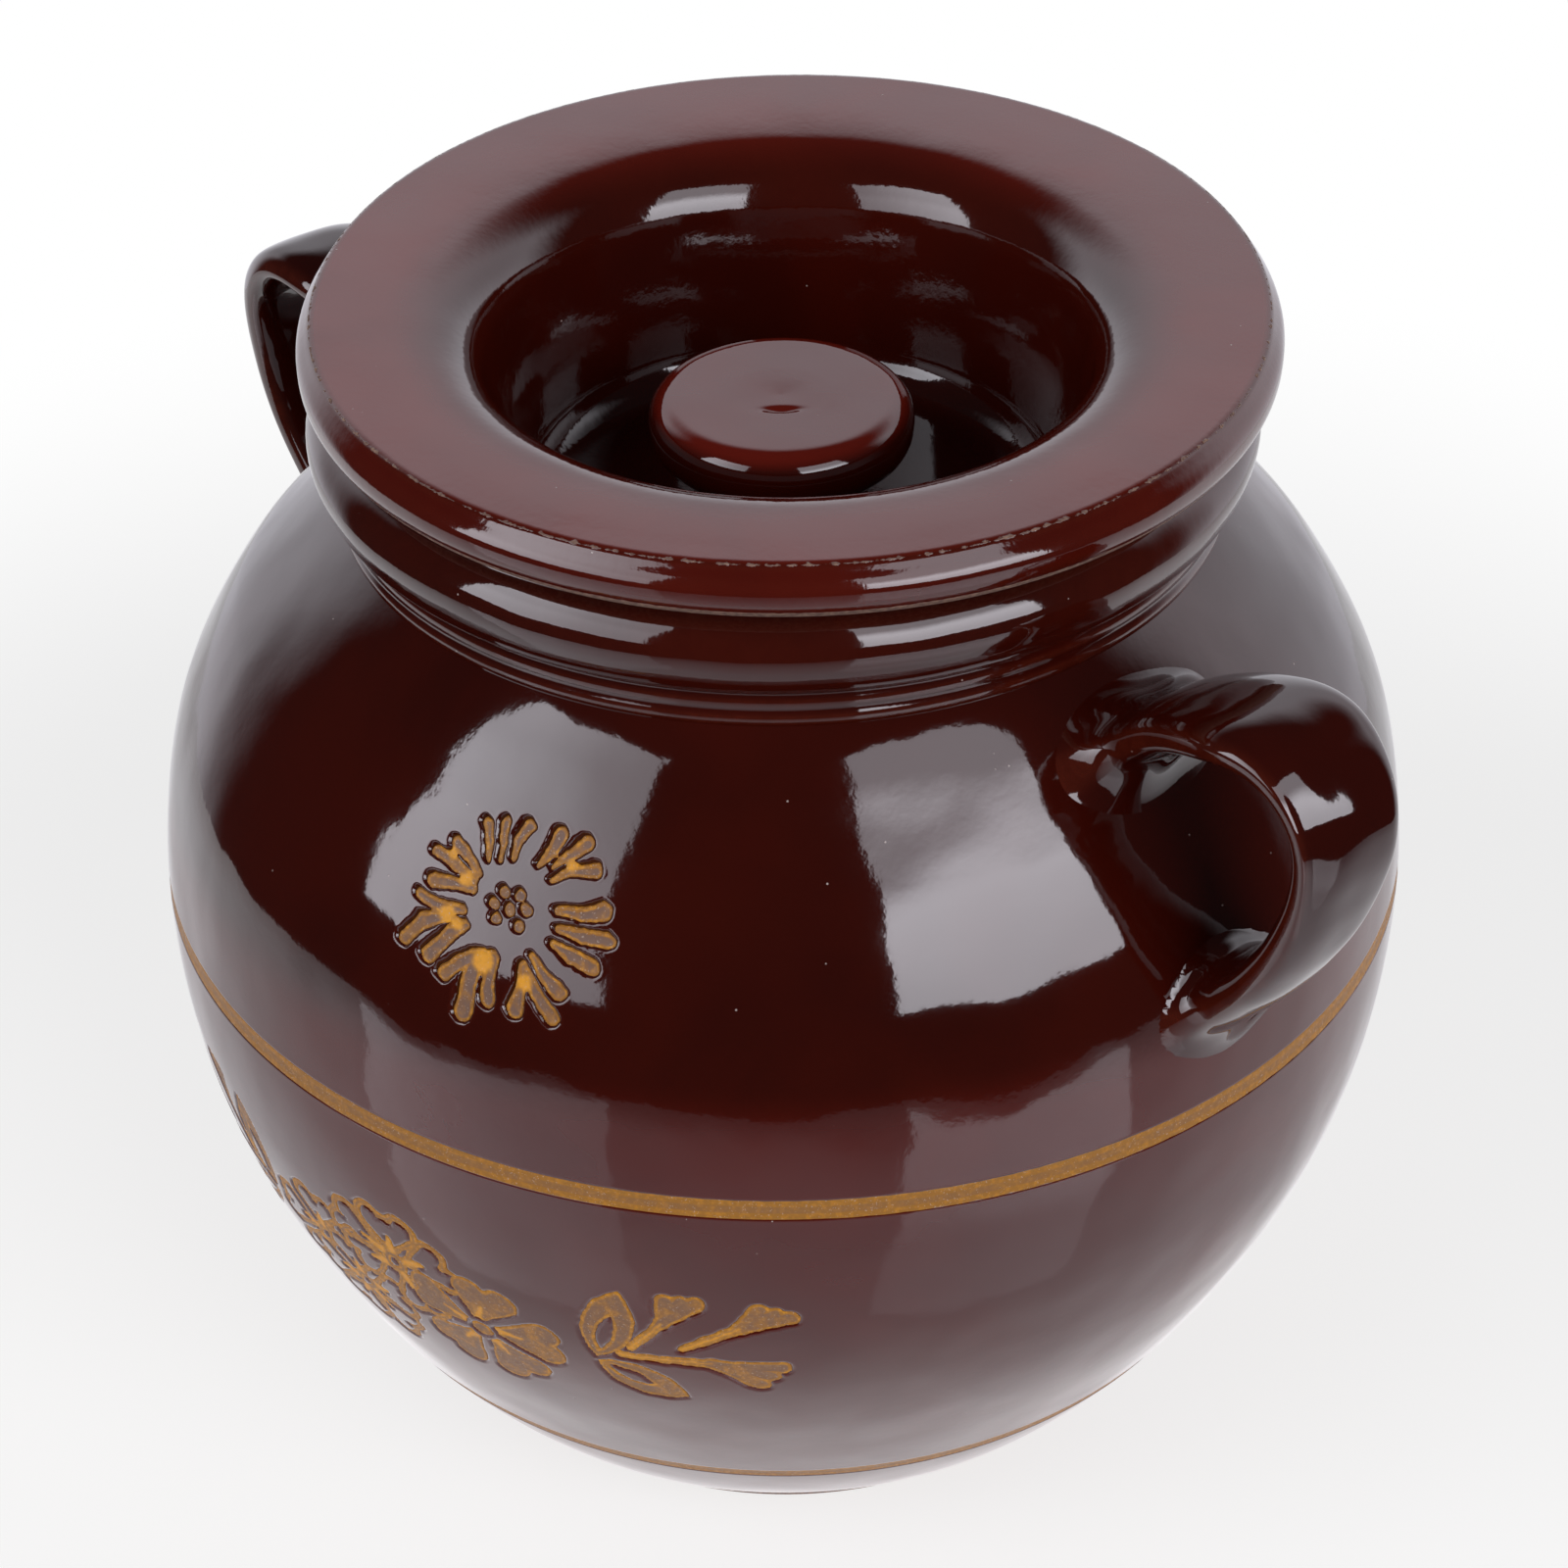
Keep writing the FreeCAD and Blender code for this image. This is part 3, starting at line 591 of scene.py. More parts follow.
@dataclass(frozen=True)
class Glaze:
    """Glossy red-brown glaze that runs thin on edges and stops at bare clay, with painted light as a lighter,
    redder glaze where more light falls.
    """

    name: str
    colour: Colour = rgb(0.046, 0.0038, 0.0014)
    deep: Colour = rgb(0.032, 0.0028, 0.0012)
    thin: Colour = rgb(0.125, 0.019, 0.008)
    warm: Colour = rgb(0.195, 0.0135, 0.0062)  # painted light: the lighter, redder glaze that stands for more light falling
    speck: Colour = rgb(0.45, 0.38, 0.34)  # its pinholes
    roughness: float = 0.04
    rough_spread: float = 0.03
    speck_rough: float = 0.25
    ior: float = 1.75
    wave: float = 1.0  # height of its broad waves
    wave_size: float = 26.0
    peel: float = 0.01  # height of its fine orange-peel waves
    peel_size: float = 1.4
    cloud: Clouds = Clouds(34.0, 3.0, 0.4, 0.3, 0.72)
    cloud_share: float = 0.25  # how much the clouds weaken the painted light
    streak: Clouds = Clouds(2.4, 3.0, 0.8, 0.35, 0.75)
    streak_share: float = 0.45  # how much the streaks weaken the thin colour
    gloss_cloud: Pair = (5.0, 3.0)
    speck_pitch: float = 5.5
    speck_edge: Pair = (0.02, 0.034)  # reach of a pinhole as a share of their pitch
    speck_places: Clouds = Clouds(16.0, 1.0, 0.0, 0.5, 0.56)
    jag: float = 0.9  # how far the bare edge wanders
    jag_cloud: Pair = (1.3, 3.0)
    bare_edge: Pair = (0.44, 0.56)  # values between which glaze turns to clay
    clay: ClayBody = ClayBody()

    def material(self) -> Material:
        """Node material that reads the stored numbers thin and bare, and the stored painted light.

        Returns:
            The material.
        """
        s = Shader(self.name)
        cloud = s.clouds(self.cloud)
        colour = s.blend(cloud, self.deep, self.colour)
        # painted light: the glaze is painted lighter and redder where the stored number says more light falls
        warm = s.times(s.stored("warm"), s.sum(1 - self.cloud_share, cloud, self.cloud_share))
        colour = s.blend(warm, colour, self.warm)
        streak = s.clouds(self.streak)
        edge = s.times(s.stored("thin"), s.sum(1 - self.streak_share, streak, self.streak_share))
        colour = s.blend(edge, colour, self.thin)
        scale = 1 / (self.speck_pitch * METRES)
        cell = s.node("ShaderNodeTexVoronoi", {"Vector": s.place(), "Scale": scale})
        rare = s.clouds(self.speck_places)
        speck = s.times(s.spread(cell.outputs["Distance"], *self.speck_edge, 1.0, 0.0), rare)
        colour = s.blend(speck, colour, self.speck)
        jag = s.sum(s.stored("bare"), s.sum(-0.5, s.noise(*self.jag_cloud)), self.jag)
        bare = s.spread(jag, *self.bare_edge)
        grain = s.noise(self.clay.grain, 4.0)
        clay = s.blend(s.spread(grain, *self.clay.grain_edge), self.clay.dark, self.clay.light)
        colour = s.blend(bare, colour, clay)
        gloss = s.sum(self.roughness, s.noise(*self.gloss_cloud), self.rough_spread)
        gloss = s.sum(gloss, speck, self.speck_rough)
        rough = s.node("ShaderNodeMix", {"Factor": bare, 2: gloss, 3: self.clay.roughness})
        normal = s.bump(s.noise(self.wave_size, 1.5), self.wave)
        normal = s.bump(s.noise(self.peel_size, 2.0), self.peel, normal)
        normal = s.bump(s.times(bare, grain), self.clay.relief, normal)
        inputs = {"Base Color": colour, "Roughness": rough.outputs[0], "IOR": self.ior, "Normal": normal}
        return s.close(s.node("ShaderNodeBsdfPrincipled", inputs).outputs[0])


@dataclass(frozen=True)
class Slip:
    """Ochre slip under thin glaze: golden along its edges and where it lies thick, greyer on the
    flat, where the grey is partly its own tone and partly a painted sheen of reflected light, with a gritty
    grain and pale specks."""

    name: str
    gold: Colour = rgb(0.86, 0.38, 0.02)
    dull: Colour = rgb(0.37, 0.155, 0.022)
    grey: Colour = rgb(0.19, 0.115, 0.088)
    pale: Colour = rgb(0.62, 0.50, 0.40)
    grey_share: float = 0.9
    edge: float = 0.3  # distance from the edge at which the grey starts
    edge_width: float = 0.22
    roughness: float = 0.34
    rough_spread: float = 0.3
    ior: float = 1.42
    grain: float = 0.05
    grain_cloud: Pair = (0.8, 3.0)
    mottle: tuple[float, ...] = (0.42, 0.72, 0.0, 0.6)  # grain values where gold comes up, and its shares
    pool_share: float = 0.9  # how much gold a pool of slip has
    patch: Clouds = Clouds(3.0, 2.0, 0.5, 0.36, 0.56, 0.5, 1.0)
    specks: Clouds = Clouds(0.3, 1.0, 0.0, 0.66, 0.72)
    speck_share: float = 0.6
    gloss_cloud: Pair = (0.7, 2.0)

    def material(self) -> Material:
        """Node material that reads the stored numbers within, the distance from the edge, and
        rich, the share of thick slip.

        Returns:
            The material.
        """
        s = Shader(self.name)
        within = s.stored("within")
        mottle = s.noise(*self.grain_cloud)
        pooled = s.stored("rich")
        thick = s.sum(s.spread(mottle, *self.mottle), pooled, self.pool_share)
        gold = s.blend(thick, self.dull, self.gold)
        patch = s.clouds(self.patch)
        reach = s.sum(within, s.sum(-0.5, mottle), 0.5)
        middle = s.times(s.spread(reach, self.edge, self.edge + self.edge_width), patch)
        flat = s.sum(1.0, pooled, -1.0)
        # painted reflection: the grey middles are partly a painted sheen of reflected light
        colour = s.blend(s.times(s.times(middle, flat), self.grey_share), gold, self.grey)
        speck = s.clouds(self.specks)
        colour = s.blend(s.times(speck, self.speck_share), colour, self.pale)
        rough = s.sum(self.roughness, s.noise(*self.gloss_cloud), self.rough_spread)
        normal = s.bump(mottle, self.grain)
        inputs = {"Base Color": colour, "Roughness": rough, "IOR": self.ior, "Normal": normal}
        return s.close(s.node("ShaderNodeBsdfPrincipled", inputs).outputs[0])


def finish_piece(piece: Piece, material: Material, slot: Slot, body: Body, *nodes: str) -> None:
    """Dress a piece and tie it to the frame.

    Args:
        piece: The new piece.
        material: Its material.
        slot: Material slot of the record; not used.
        body: Body it moves with.
        *nodes: Nodes of the frame that it stands for.
    """
    piece.data.materials.append(material)
    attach(piece, body.value)
    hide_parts(*nodes)
    piece.data.calc_loop_triangles()
    log.info("%s: %d triangles on %s", piece.name, len(piece.data.loop_triangles), body.value)


def glaze_clay(piece: Piece, glaze: Material, node: str, body: Body = Body.CROCK) -> None:
    """Dress a clay piece in its glaze, tie it to its body and hide the node it stands for."""
    finish_piece(piece, glaze, Slot.GLAZE, body, node)


def glaze_numbers(grid: tuple[int, int], **numbers: Array | float) -> dict[str, Array]:
    """Numbers that the glaze reads at the points of a grid, 0 where none is given.

    Args:
        grid: Rows and columns of the grid.
        **numbers: For bare, thin and the painted light, one number, one for each row (rows x 1) or a grid.

    Returns:
        Whole grids by name.
    """
    return {name: np.broadcast_to(numbers.get(name, 0.0), grid) for name in ("bare", "thin", "warm")}


# Form shared by the pot's pieces


@dataclass(frozen=True)
class Oval:
    """Out-of-round shape of a hand-thrown ring: the radius gains shares of cos 2a and sin 2a,
    where a is the azimuth from the level direction, and the ring is pushed to the right and to
    the back as seen from the viewing side."""

    cosine: float
    sine: float
    push: float
    back: float = 0.0

    def apply(self, azimuth: Array, radius: Array, height: Array, share: Array | float) -> Array:
        """Points of the ring.

        Args:
            azimuth: Degrees.
            radius: Round radius.
            height: Height.
            share: How much of the shape applies, from 0 to 1.

        Returns:
            Points, with a last axis of 3.
        """
        turn = np.radians(azimuth)
        level = math.radians(LEVEL_AZIMUTH)
        twice = 2 * (turn - level)
        wide = radius * (1 + share * (self.cosine * np.cos(twice) + self.sine * np.sin(twice)))
        x = wide * np.cos(turn) + share * (self.push * math.cos(level) - self.back * math.sin(level))
        y = wide * np.sin(turn) + share * (self.push * math.sin(level) + self.back * math.cos(level))
        return np.stack([x, y, height + 0 * x], axis=-1)

    def turned(self, line: Array, columns: Array, share: Array | float = 1.0) -> Array:
        """Section line of (radius, height) turned round the axis, a column for each azimuth."""
        return self.apply(columns[None, :], line[:, :1], line[:, 1:], share)


def seen(points: Array) -> tuple[Array, Array]:
    """Distances of points from the axis to the right and to the back, as seen from the viewing
    side: the dot products with those two directions.

    Args:
        points: Points, with a last axis of 3.

    Returns:
        The distances to the right and to the back.
    """
    level = math.radians(LEVEL_AZIMUTH)
    x, y = points[..., 0], points[..., 1]
    return x * math.cos(level) + y * math.sin(level), y * math.cos(level) - x * math.sin(level)


@dataclass
class Belly:
    """Outside of the pot from its heel to its neck: two arcs that stand upright at the widest
    point, with three soft swells left by throwing."""

    widest: float = 99.97
    widest_height: float = 97.0
    heel: Pair = (68.4, 12.0)
    neck: Pair = (69.0, 163.5)
    swells: tuple[Triple, ...] = (  # height, place and reach of a bell curve
        (-0.8, 38.0, 17.0),
        (0.6, 128.0, 12.0),
        (-0.35, 154.0, 5.0),
    )
    oval: Oval = Oval(-0.0234, 0.0061, 0.8)
    oval_from: float = 146.0  # height at which the neck's out-of-round shape starts

    def __post_init__(self) -> None:
        """Tabulate the section by distance along it."""
        self.heights = np.linspace(self.heel[1], self.neck[1], 6001)
        self.radii = self.radius_at(self.heights)
        run = np.hypot(np.diff(self.heights), np.diff(self.radii))
        self.reach = np.concatenate([[0], np.cumsum(run)])

    def arc_radius(self, end: Pair) -> float:
        """Radius of the arc from the widest point to an end."""
        reach, rise = self.widest - end[0], end[1] - self.widest_height
        return (reach * reach + rise * rise) / (2 * reach)

    def radius_at(self, height: Array) -> Array:
        """Radius at each height.

        Args:
            height: Heights from the heel to the neck.

        Returns:
            The radii.
        """
        lift = height - self.widest_height
        big = np.where(lift < 0, self.arc_radius(self.heel), self.arc_radius(self.neck))
        radius = self.widest - big + np.sqrt(big * big - lift * lift)
        for gain, middle, wide in self.swells:
            radius = radius + gain * np.exp(-(((height - middle) / wide) ** 2))
        return radius

    def radius(self, height: float) -> float:
        """Radius at one height."""
        return float(self.radius_at(np.array([height]))[0])

    def along(self, height: float) -> float:
        """Distance along the section at a height."""
        return float(np.interp(height, self.heights, self.reach))

    def surface(self, azimuth: Array, along: Array) -> tuple[Array, Array]:
        """Points and outward normals of the outside: the section turned round the axis, out of
        round towards the neck.

        Args:
            azimuth: Degrees of the columns.
            along: Distances along the section of the rows.

        Returns:
            Rows x columns x 3 points and normals.
        """
        height = np.interp(along, self.reach, self.heights)
        radius = self.radius_at(height)
        lean = np.arctan2(-np.gradient(self.radii, self.heights), 1.0)
        lean = np.interp(along, self.reach, lean)
        share = smooth_step(self.oval_from, self.neck[1], height)
        points = self.oval.apply(azimuth[None, :], radius[:, None], height[:, None], share[:, None])
        turn = np.radians(azimuth)[None, :]
        flat, up = np.cos(lean)[:, None], np.sin(lean)[:, None]
        normals = np.stack([flat * np.cos(turn), flat * np.sin(turn), up + 0 * turn], axis=-1)
        return points, normals


# Ornament: signed distances, positive inside, on planes that touch the belly


@dataclass(frozen=True)
class TouchPlane:
    """Drawing plane that touches the belly at an azimuth and height: u runs round to the right,
    v runs up."""

    azimuth: float
    height: float

    def coordinates(self, belly: Belly, points: Array) -> tuple[Array, Array]:
        """Places of points on the plane: the dot products with its two directions.

        Args:
            belly: The outside it touches.
            points: Points, with a last axis of 3.

        Returns:
            The u and v of each point.
        """
        turn = math.radians(self.azimuth)
        lift = self.height - belly.widest_height
        slope = math.asin(lift / belly.arc_radius(belly.heel if lift < 0 else belly.neck))
        out = np.array([math.cos(slope) * math.cos(turn), math.cos(slope) * math.sin(turn), math.sin(slope)])
        right = np.array([-math.sin(turn), math.cos(turn), 0.0])
        radius = belly.radius(self.height)
        start = np.array([radius * math.cos(turn), radius * math.sin(turn), self.height])
        away = points - start
        return away @ right, away @ np.cross(out, right)


def between(start: Point, end: Point, share: float) -> Point:
    """Point part of the way from one place to another."""
    return start[0] + share * (end[0] - start[0]), start[1] + share * (end[1] - start[1])


def stroke(u: Array, v: Array, start: Point, end: Point, first: float, last: float) -> Array:
    """Tapering stroke with round ends: the half width at the nearest point of its line, less the
    distance to that point.

    Args:
        u: Places to the right.
        v: Places upward.
        start: First end of the line.
        end: Last end of the line.
        first: Width at the first end.
        last: Width at the last end.

    Returns:
        Signed distances.
    """
    way = (end[0] - start[0], end[1] - start[1])
    share = ((u - start[0]) * way[0] + (v - start[1]) * way[1]) / (way[0] ** 2 + way[1] ** 2)
    share = np.clip(share, 0, 1)
    gap = np.hypot(u - start[0] - share * way[0], v - start[1] - share * way[1])
    return (first + (last - first) * share) / 2 - gap


def disc(u: Array, v: Array, centre: Pair, radius: float) -> Array:
    """Round spot: its radius less the distance to its centre."""
    return radius - np.hypot(u - centre[0], v - centre[1])


def leaf(u: Array, v: Array, base: Point, tip: Point, width: float) -> Array:
    """Pointed leaf: the part that two equal circles through its ends have in common.

    Args:
        u: Places to the right.
        v: Places upward.
        base: One end.
        tip: The other end.
        width: Greatest width.

    Returns:
        Signed distances.
    """
    half = math.dist(base, tip) / 2
    radius = (half * half + width * width / 4) / width
    side = ((base[1] - tip[1]) / (2 * half), (tip[0] - base[0]) / (2 * half))
    shift = radius - width / 2
    middle = ((base[0] + tip[0]) / 2, (base[1] + tip[1]) / 2)
    centres = [(middle[0] + k * side[0] * shift, middle[1] + k * side[1] * shift) for k in (-1, 1)]
    return np.minimum(*(disc(u, v, centre, radius) for centre in centres))


def joined(parts: list[Array], melt: float = 0.0) -> Array:
    """Union of drawings: the greatest distance, raised where two are nearly equal so that they
    melt together.

    Args:
        parts: Signed distances.
        melt: Width over which they melt.

    Returns:
        Signed distances of the union.
    """
    whole = parts[0]
    for part in parts[1:]:
        gap = np.maximum(melt - np.abs(whole - part), 0) / max(melt, TINY)
        whole = np.maximum(whole, part) + gap * gap * melt / 4
    return whole


Brushed = tuple[Triple, ...]


def brush(u: Array, v: Array, path: Brushed) -> Array:
    """Brush stroke that bends through points and swells from width to width.

    Args:
        u: Places to the right.
        v: Places upward.
        path: Each point's place and width; a single point is a spot.

    Returns:
        Signed distances.
    """
    if len(path) == 1:
        return disc(u, v, path[0][:2], path[0][2] / 2)
    return joined([stroke(u, v, a[:2], b[:2], a[2], b[2]) for a, b in zip(path, path[1:])], 0.3)


@dataclass
class Flower:
    """Open flower on the shoulder: seven groups of three strokes round seven seeds, with pools
    of slip where strokes of a group meet."""

    plane: TouchPlane = TouchPlane(-69.0, 140.2)
    seed: float = 0.78
    paths: tuple[Brushed, ...] = (
        ((-4.8, 5.6, 0.5), (-5.4, 8.4, 1.0), (-6.2, 10.7, 1.5)),
        ((-3.0, 6.3, 0.6), (-3.4, 8.8, 1.0), (-3.5, 11.4, 1.5)),
        ((-1.1, 6.8, 0.7), (-1.0, 9.4, 1.2), (0.1, 11.8, 1.8)),
        ((2.8, 6.9, 0.5), (4.1, 9.1, 1.6), (5.0, 11.6, 2.2)),
        ((4.9, 7.2, 0.5), (6.8, 9.2, 1.3), (8.9, 11.4, 2.0)),
        ((5.2, 5.3, 0.6), (7.7, 7.3, 1.2), (11.0, 8.0, 2.1)),
        ((7.0, 1.4, 0.9), (10.4, 1.8, 1.6), (13.5, 2.9, 2.4)),
        ((7.5, -1.0, 0.9), (11.2, -1.0, 1.7), (15.0, -1.0, 2.1)),
        ((7.5, -3.2, 1.0), (10.4, -4.2, 2.0), (13.4, -5.0, 2.3)),
        ((4.6, -5.7, 0.9), (6.8, -7.8, 1.7), (9.4, -9.5, 2.3)),
        ((4.2, -7.9, 1.1), (6.2, -10.6, 1.9), (8.9, -13.3, 2.5)),
        ((3.7, -7.2, 1.2), (3.7, -10.7, 1.5), (3.3, -13.7, 2.3)),
        ((-1.1, -7.2, 1.7), (-1.4, -9.9, 1.7), (-1.0, -13.3, 2.2)),
        ((-3.5, -7.6, 2.0), (-4.2, -11.2, 2.4), (-4.6, -16.1, 2.8)),
        ((-4.2, -7.9, 1.8), (-6.2, -9.3, 1.8), (-8.3, -11.2, 2.2)),
        ((-6.9, -1.9, 0.9), (-10.4, -2.4, 1.8), (-14.4, -1.6, 1.4)),
        ((-10.0, -3.6, 1.7), (-13.2, -5.0, 2.1), (-15.6, -8.0, 1.9)),
        ((-6.2, -3.7, 1.3), (-8.6, -5.8, 1.9), (-11.3, -9.5, 2.2)),
        ((-5.7, 3.5, 0.8), (-8.4, 5.9, 1.6), (-10.3, 6.8, 1.8)),
        ((-6.4, 2.5, 1.2), (-9.7, 4.0, 1.5), (-13.1, 5.0, 1.5)),
        ((-6.3, 1.4, 1.3), (-9.8, 1.2, 1.5), (-12.8, 1.0, 1.9)),
    )
    pools: tuple[Triple, ...] = (
        (7.6, 8.1, 1.3),
        (4.1, -9.5, 2.0),
        (-2.7, -8.0, 3.0),
        (-9.6, -3.1, 2.3),
        (-7.6, -4.1, 1.7),
        (-7.7, 2.4, 2.0),
        (-10.6, 5.3, 1.2),
    )
    seeds_at: tuple[Point, ...] = (
        (0.0, -0.1),
        (-1.2, 2.1),
        (1.2, 2.1),
        (-2.6, 0.2),
        (2.5, 0.4),
        (-1.8, -1.8),
        (1.9, -2.0),
    )

    def strokes(self, u: Array, v: Array) -> Array:
        """Signed distances of the strokes and pools."""
        return joined([brush(u, v, path) for path in (*self.paths, *((pool,) for pool in self.pools))], 0.35)

    def rich(self, u: Array, v: Array) -> Array:
        """Share of thick golden slip, which lies in the pools."""
        return smooth_step(-0.7, 0.5, joined([brush(u, v, (pool,)) for pool in self.pools], 0.5))

    def seeds(self, u: Array, v: Array) -> Array:
        """Signed distances of the seeds."""
        return joined([disc(u, v, place, self.seed) for place in self.seeds_at])


@dataclass(frozen=True)
class Petal:
    """Heart-shaped petal: a stroke to each lobe and a rounder one between them.

    Args:
        foot: Where it starts.
        left: Middle of its left lobe.
        right: Middle of its right lobe.
        lobe: Radius of the lobes.
    """

    foot: Point
    left: Point
    right: Point
    lobe: float

    def waist(self, share: float) -> Point:
        """Point part of the way from the foot to the middle between the lobes."""
        return between(self.foot, between(self.left, self.right, 0.5), share)

    def whole(self, u: Array, v: Array) -> Array:
        """Filled petal: strokes from its foot to its lobes and to a round middle melt together.

        Args:
            u: Places to the right.
            v: Places upward.

        Returns:
            Signed distances.
        """
        middle_share, middle_place, foot_width, melt = 0.62, 0.66, 1.4, 0.8
        middle = middle_share * (math.dist(self.left, self.right) / 2 + self.lobe)
        ends = [(self.left, self.lobe), (self.right, self.lobe), (self.waist(middle_place), middle)]
        strokes = [stroke(u, v, self.foot, end, foot_width, 2 * wide) for end, wide in ends]
        return joined(strokes, melt)

    def flame(self, u: Array, v: Array) -> Array:
        """Signed distances of the thick tongue of slip at its foot."""
        return stroke(u, v, self.foot, self.waist(0.5), 1.6, 0.7)


@dataclass(frozen=True)
class Bloom:
    """Blossom of heart-shaped petals round an eye.

    Args:
        centre: Middle of the eye.
        petals: Its petals.
        filled: True if the petals are filled, False if they are outlines.
    """

    centre: Point
    petals: tuple[Petal, ...]
    filled: bool


def bloom(centre: Point, lobe: float, filled: bool, *petals: tuple[Point, Point, Point]) -> Bloom:
    """Blossom from the foot and the two lobes of each petal."""
    return Bloom(centre, tuple(Petal(*places, lobe) for places in petals), filled)


@dataclass
class Blossoms:
    """Four blossoms that overlap: the front one is filled and the others are outlines.

    Args:
        plane: Drawing plane.
        line: Width of an outline.
        eye: Radius of a blossom's eye.
        ring: Radius of the bare ring round the filled blossom's eye.
        middle: Radius of an outlined blossom's slip round its eye.
        seam: Gap between the petals of the filled blossom.
        clear: Gap left round a blossom that lies in front.
        blooms: The blossoms, the front one first.
    """

    plane: TouchPlane = TouchPlane(-80.5, 66.0)
    line: float = 1.05
    eye: float = 1.5
    ring: float = 2.8
    middle: float = 2.3
    seam: float = 0.3
    clear: float = 0.4
    blooms: tuple[Bloom, ...] = (
        bloom(
            (13.5, -1.5),
            2.75,
            True,
            ((13.5, 1.4), (13.0, 8.0), (18.3, 7.0)),
            ((16.6, -0.7), (24.0, 1.6), (24.0, -3.0)),
            ((15.2, -4.0), (20.2, -8.6), (16.0, -11.2)),
            ((11.5, -3.8), (5.4, -7.0), (8.6, -10.6)),
            ((10.6, -0.3), (4.6, 4.6), (4.4, 0.9)),
        ),
        bloom(
            (-0.9, 6.7),
            3.1,
            False,
            ((-0.9, 9.4), (-4.2, 15.2), (2.2, 15.3)),
            ((1.8, 8.2), (7.0, 12.4), (9.6, 8.2)),
            ((-3.3, 5.5), (-9.6, 5.8), (-7.6, 1.9)),
            ((-3.2, 8.4), (-9.6, 12.6), (-11.4, 8.8)),
            ((0.4, 4.2), (0.6, -1.6), (4.6, -1.0)),
        ),
        bloom(
            (-11.2, -6.2),
            3.0,
            False,
            ((-8.8, -5.4), (-3.8, -2.2), (-3.4, -7.0)),
            ((-9.8, -8.4), (-4.2, -11.4), (-6.6, -15.2)),
            ((-12.4, -8.6), (-12.4, -14.8), (-16.6, -12.8)),
            ((-13.8, -6.2), (-19.4, -8.6), (-19.6, -4.2)),
            ((-11.6, -3.6), (-14.6, 1.4), (-9.8, 1.6)),
        ),
        bloom(
            (-18.2, 0.2),
            2.9,
            False,
            ((-18.4, 2.6), (-20.8, 7.8), (-16.2, 7.6)),
            ((-20.6, 0.8), (-26.2, 3.4), (-26.8, -0.8)),
            ((-19.6, -1.8), (-23.6, -6.6), (-19.6, -7.8)),
        ),
    )

    def drawing(self, u: Array, v: Array) -> Array:
        """Signed distances of all four, each one cut away under those in front.

        Args:
            u: Places to the right.
            v: Places upward.

        Returns:
            Signed distances.
        """
        drawn, covered = [], np.full(u.shape, -FAR)
        for flower in self.blooms:
            whole = [petal.whole(u, v) for petal in flower.petals]
            sizes = (self.eye, self.middle, self.ring)
            eye, middle, ring = (disc(u, v, flower.centre, size) for size in sizes)
            if flower.filled:
                apart = [
                    np.minimum.reduce([petal, *(-self.seam - other for other in whole[:k])])
                    for k, petal in enumerate(whole)
                ]
                shape = joined([np.minimum(joined(apart), -ring), eye])
            else:
                parts = [np.minimum(petal, self.line - petal) for petal in whole]
                parts += [petal.flame(u, v) for petal in flower.petals]
                shape = np.minimum(joined([middle, *parts], 0.4), 0.5 - eye)
            drawn.append(np.minimum(shape, -covered))
            covered = np.maximum(covered, joined([joined(whole) + self.clear, middle]))
        return joined(drawn)

    def rich(self, u: Array, v: Array) -> Array:
        """Share of thick golden slip, which lies at the feet of the petals."""
        flames = [petal.flame(u, v) for flower in self.blooms for petal in flower.petals]
        return smooth_step(*RICH_EDGE, joined(flames))


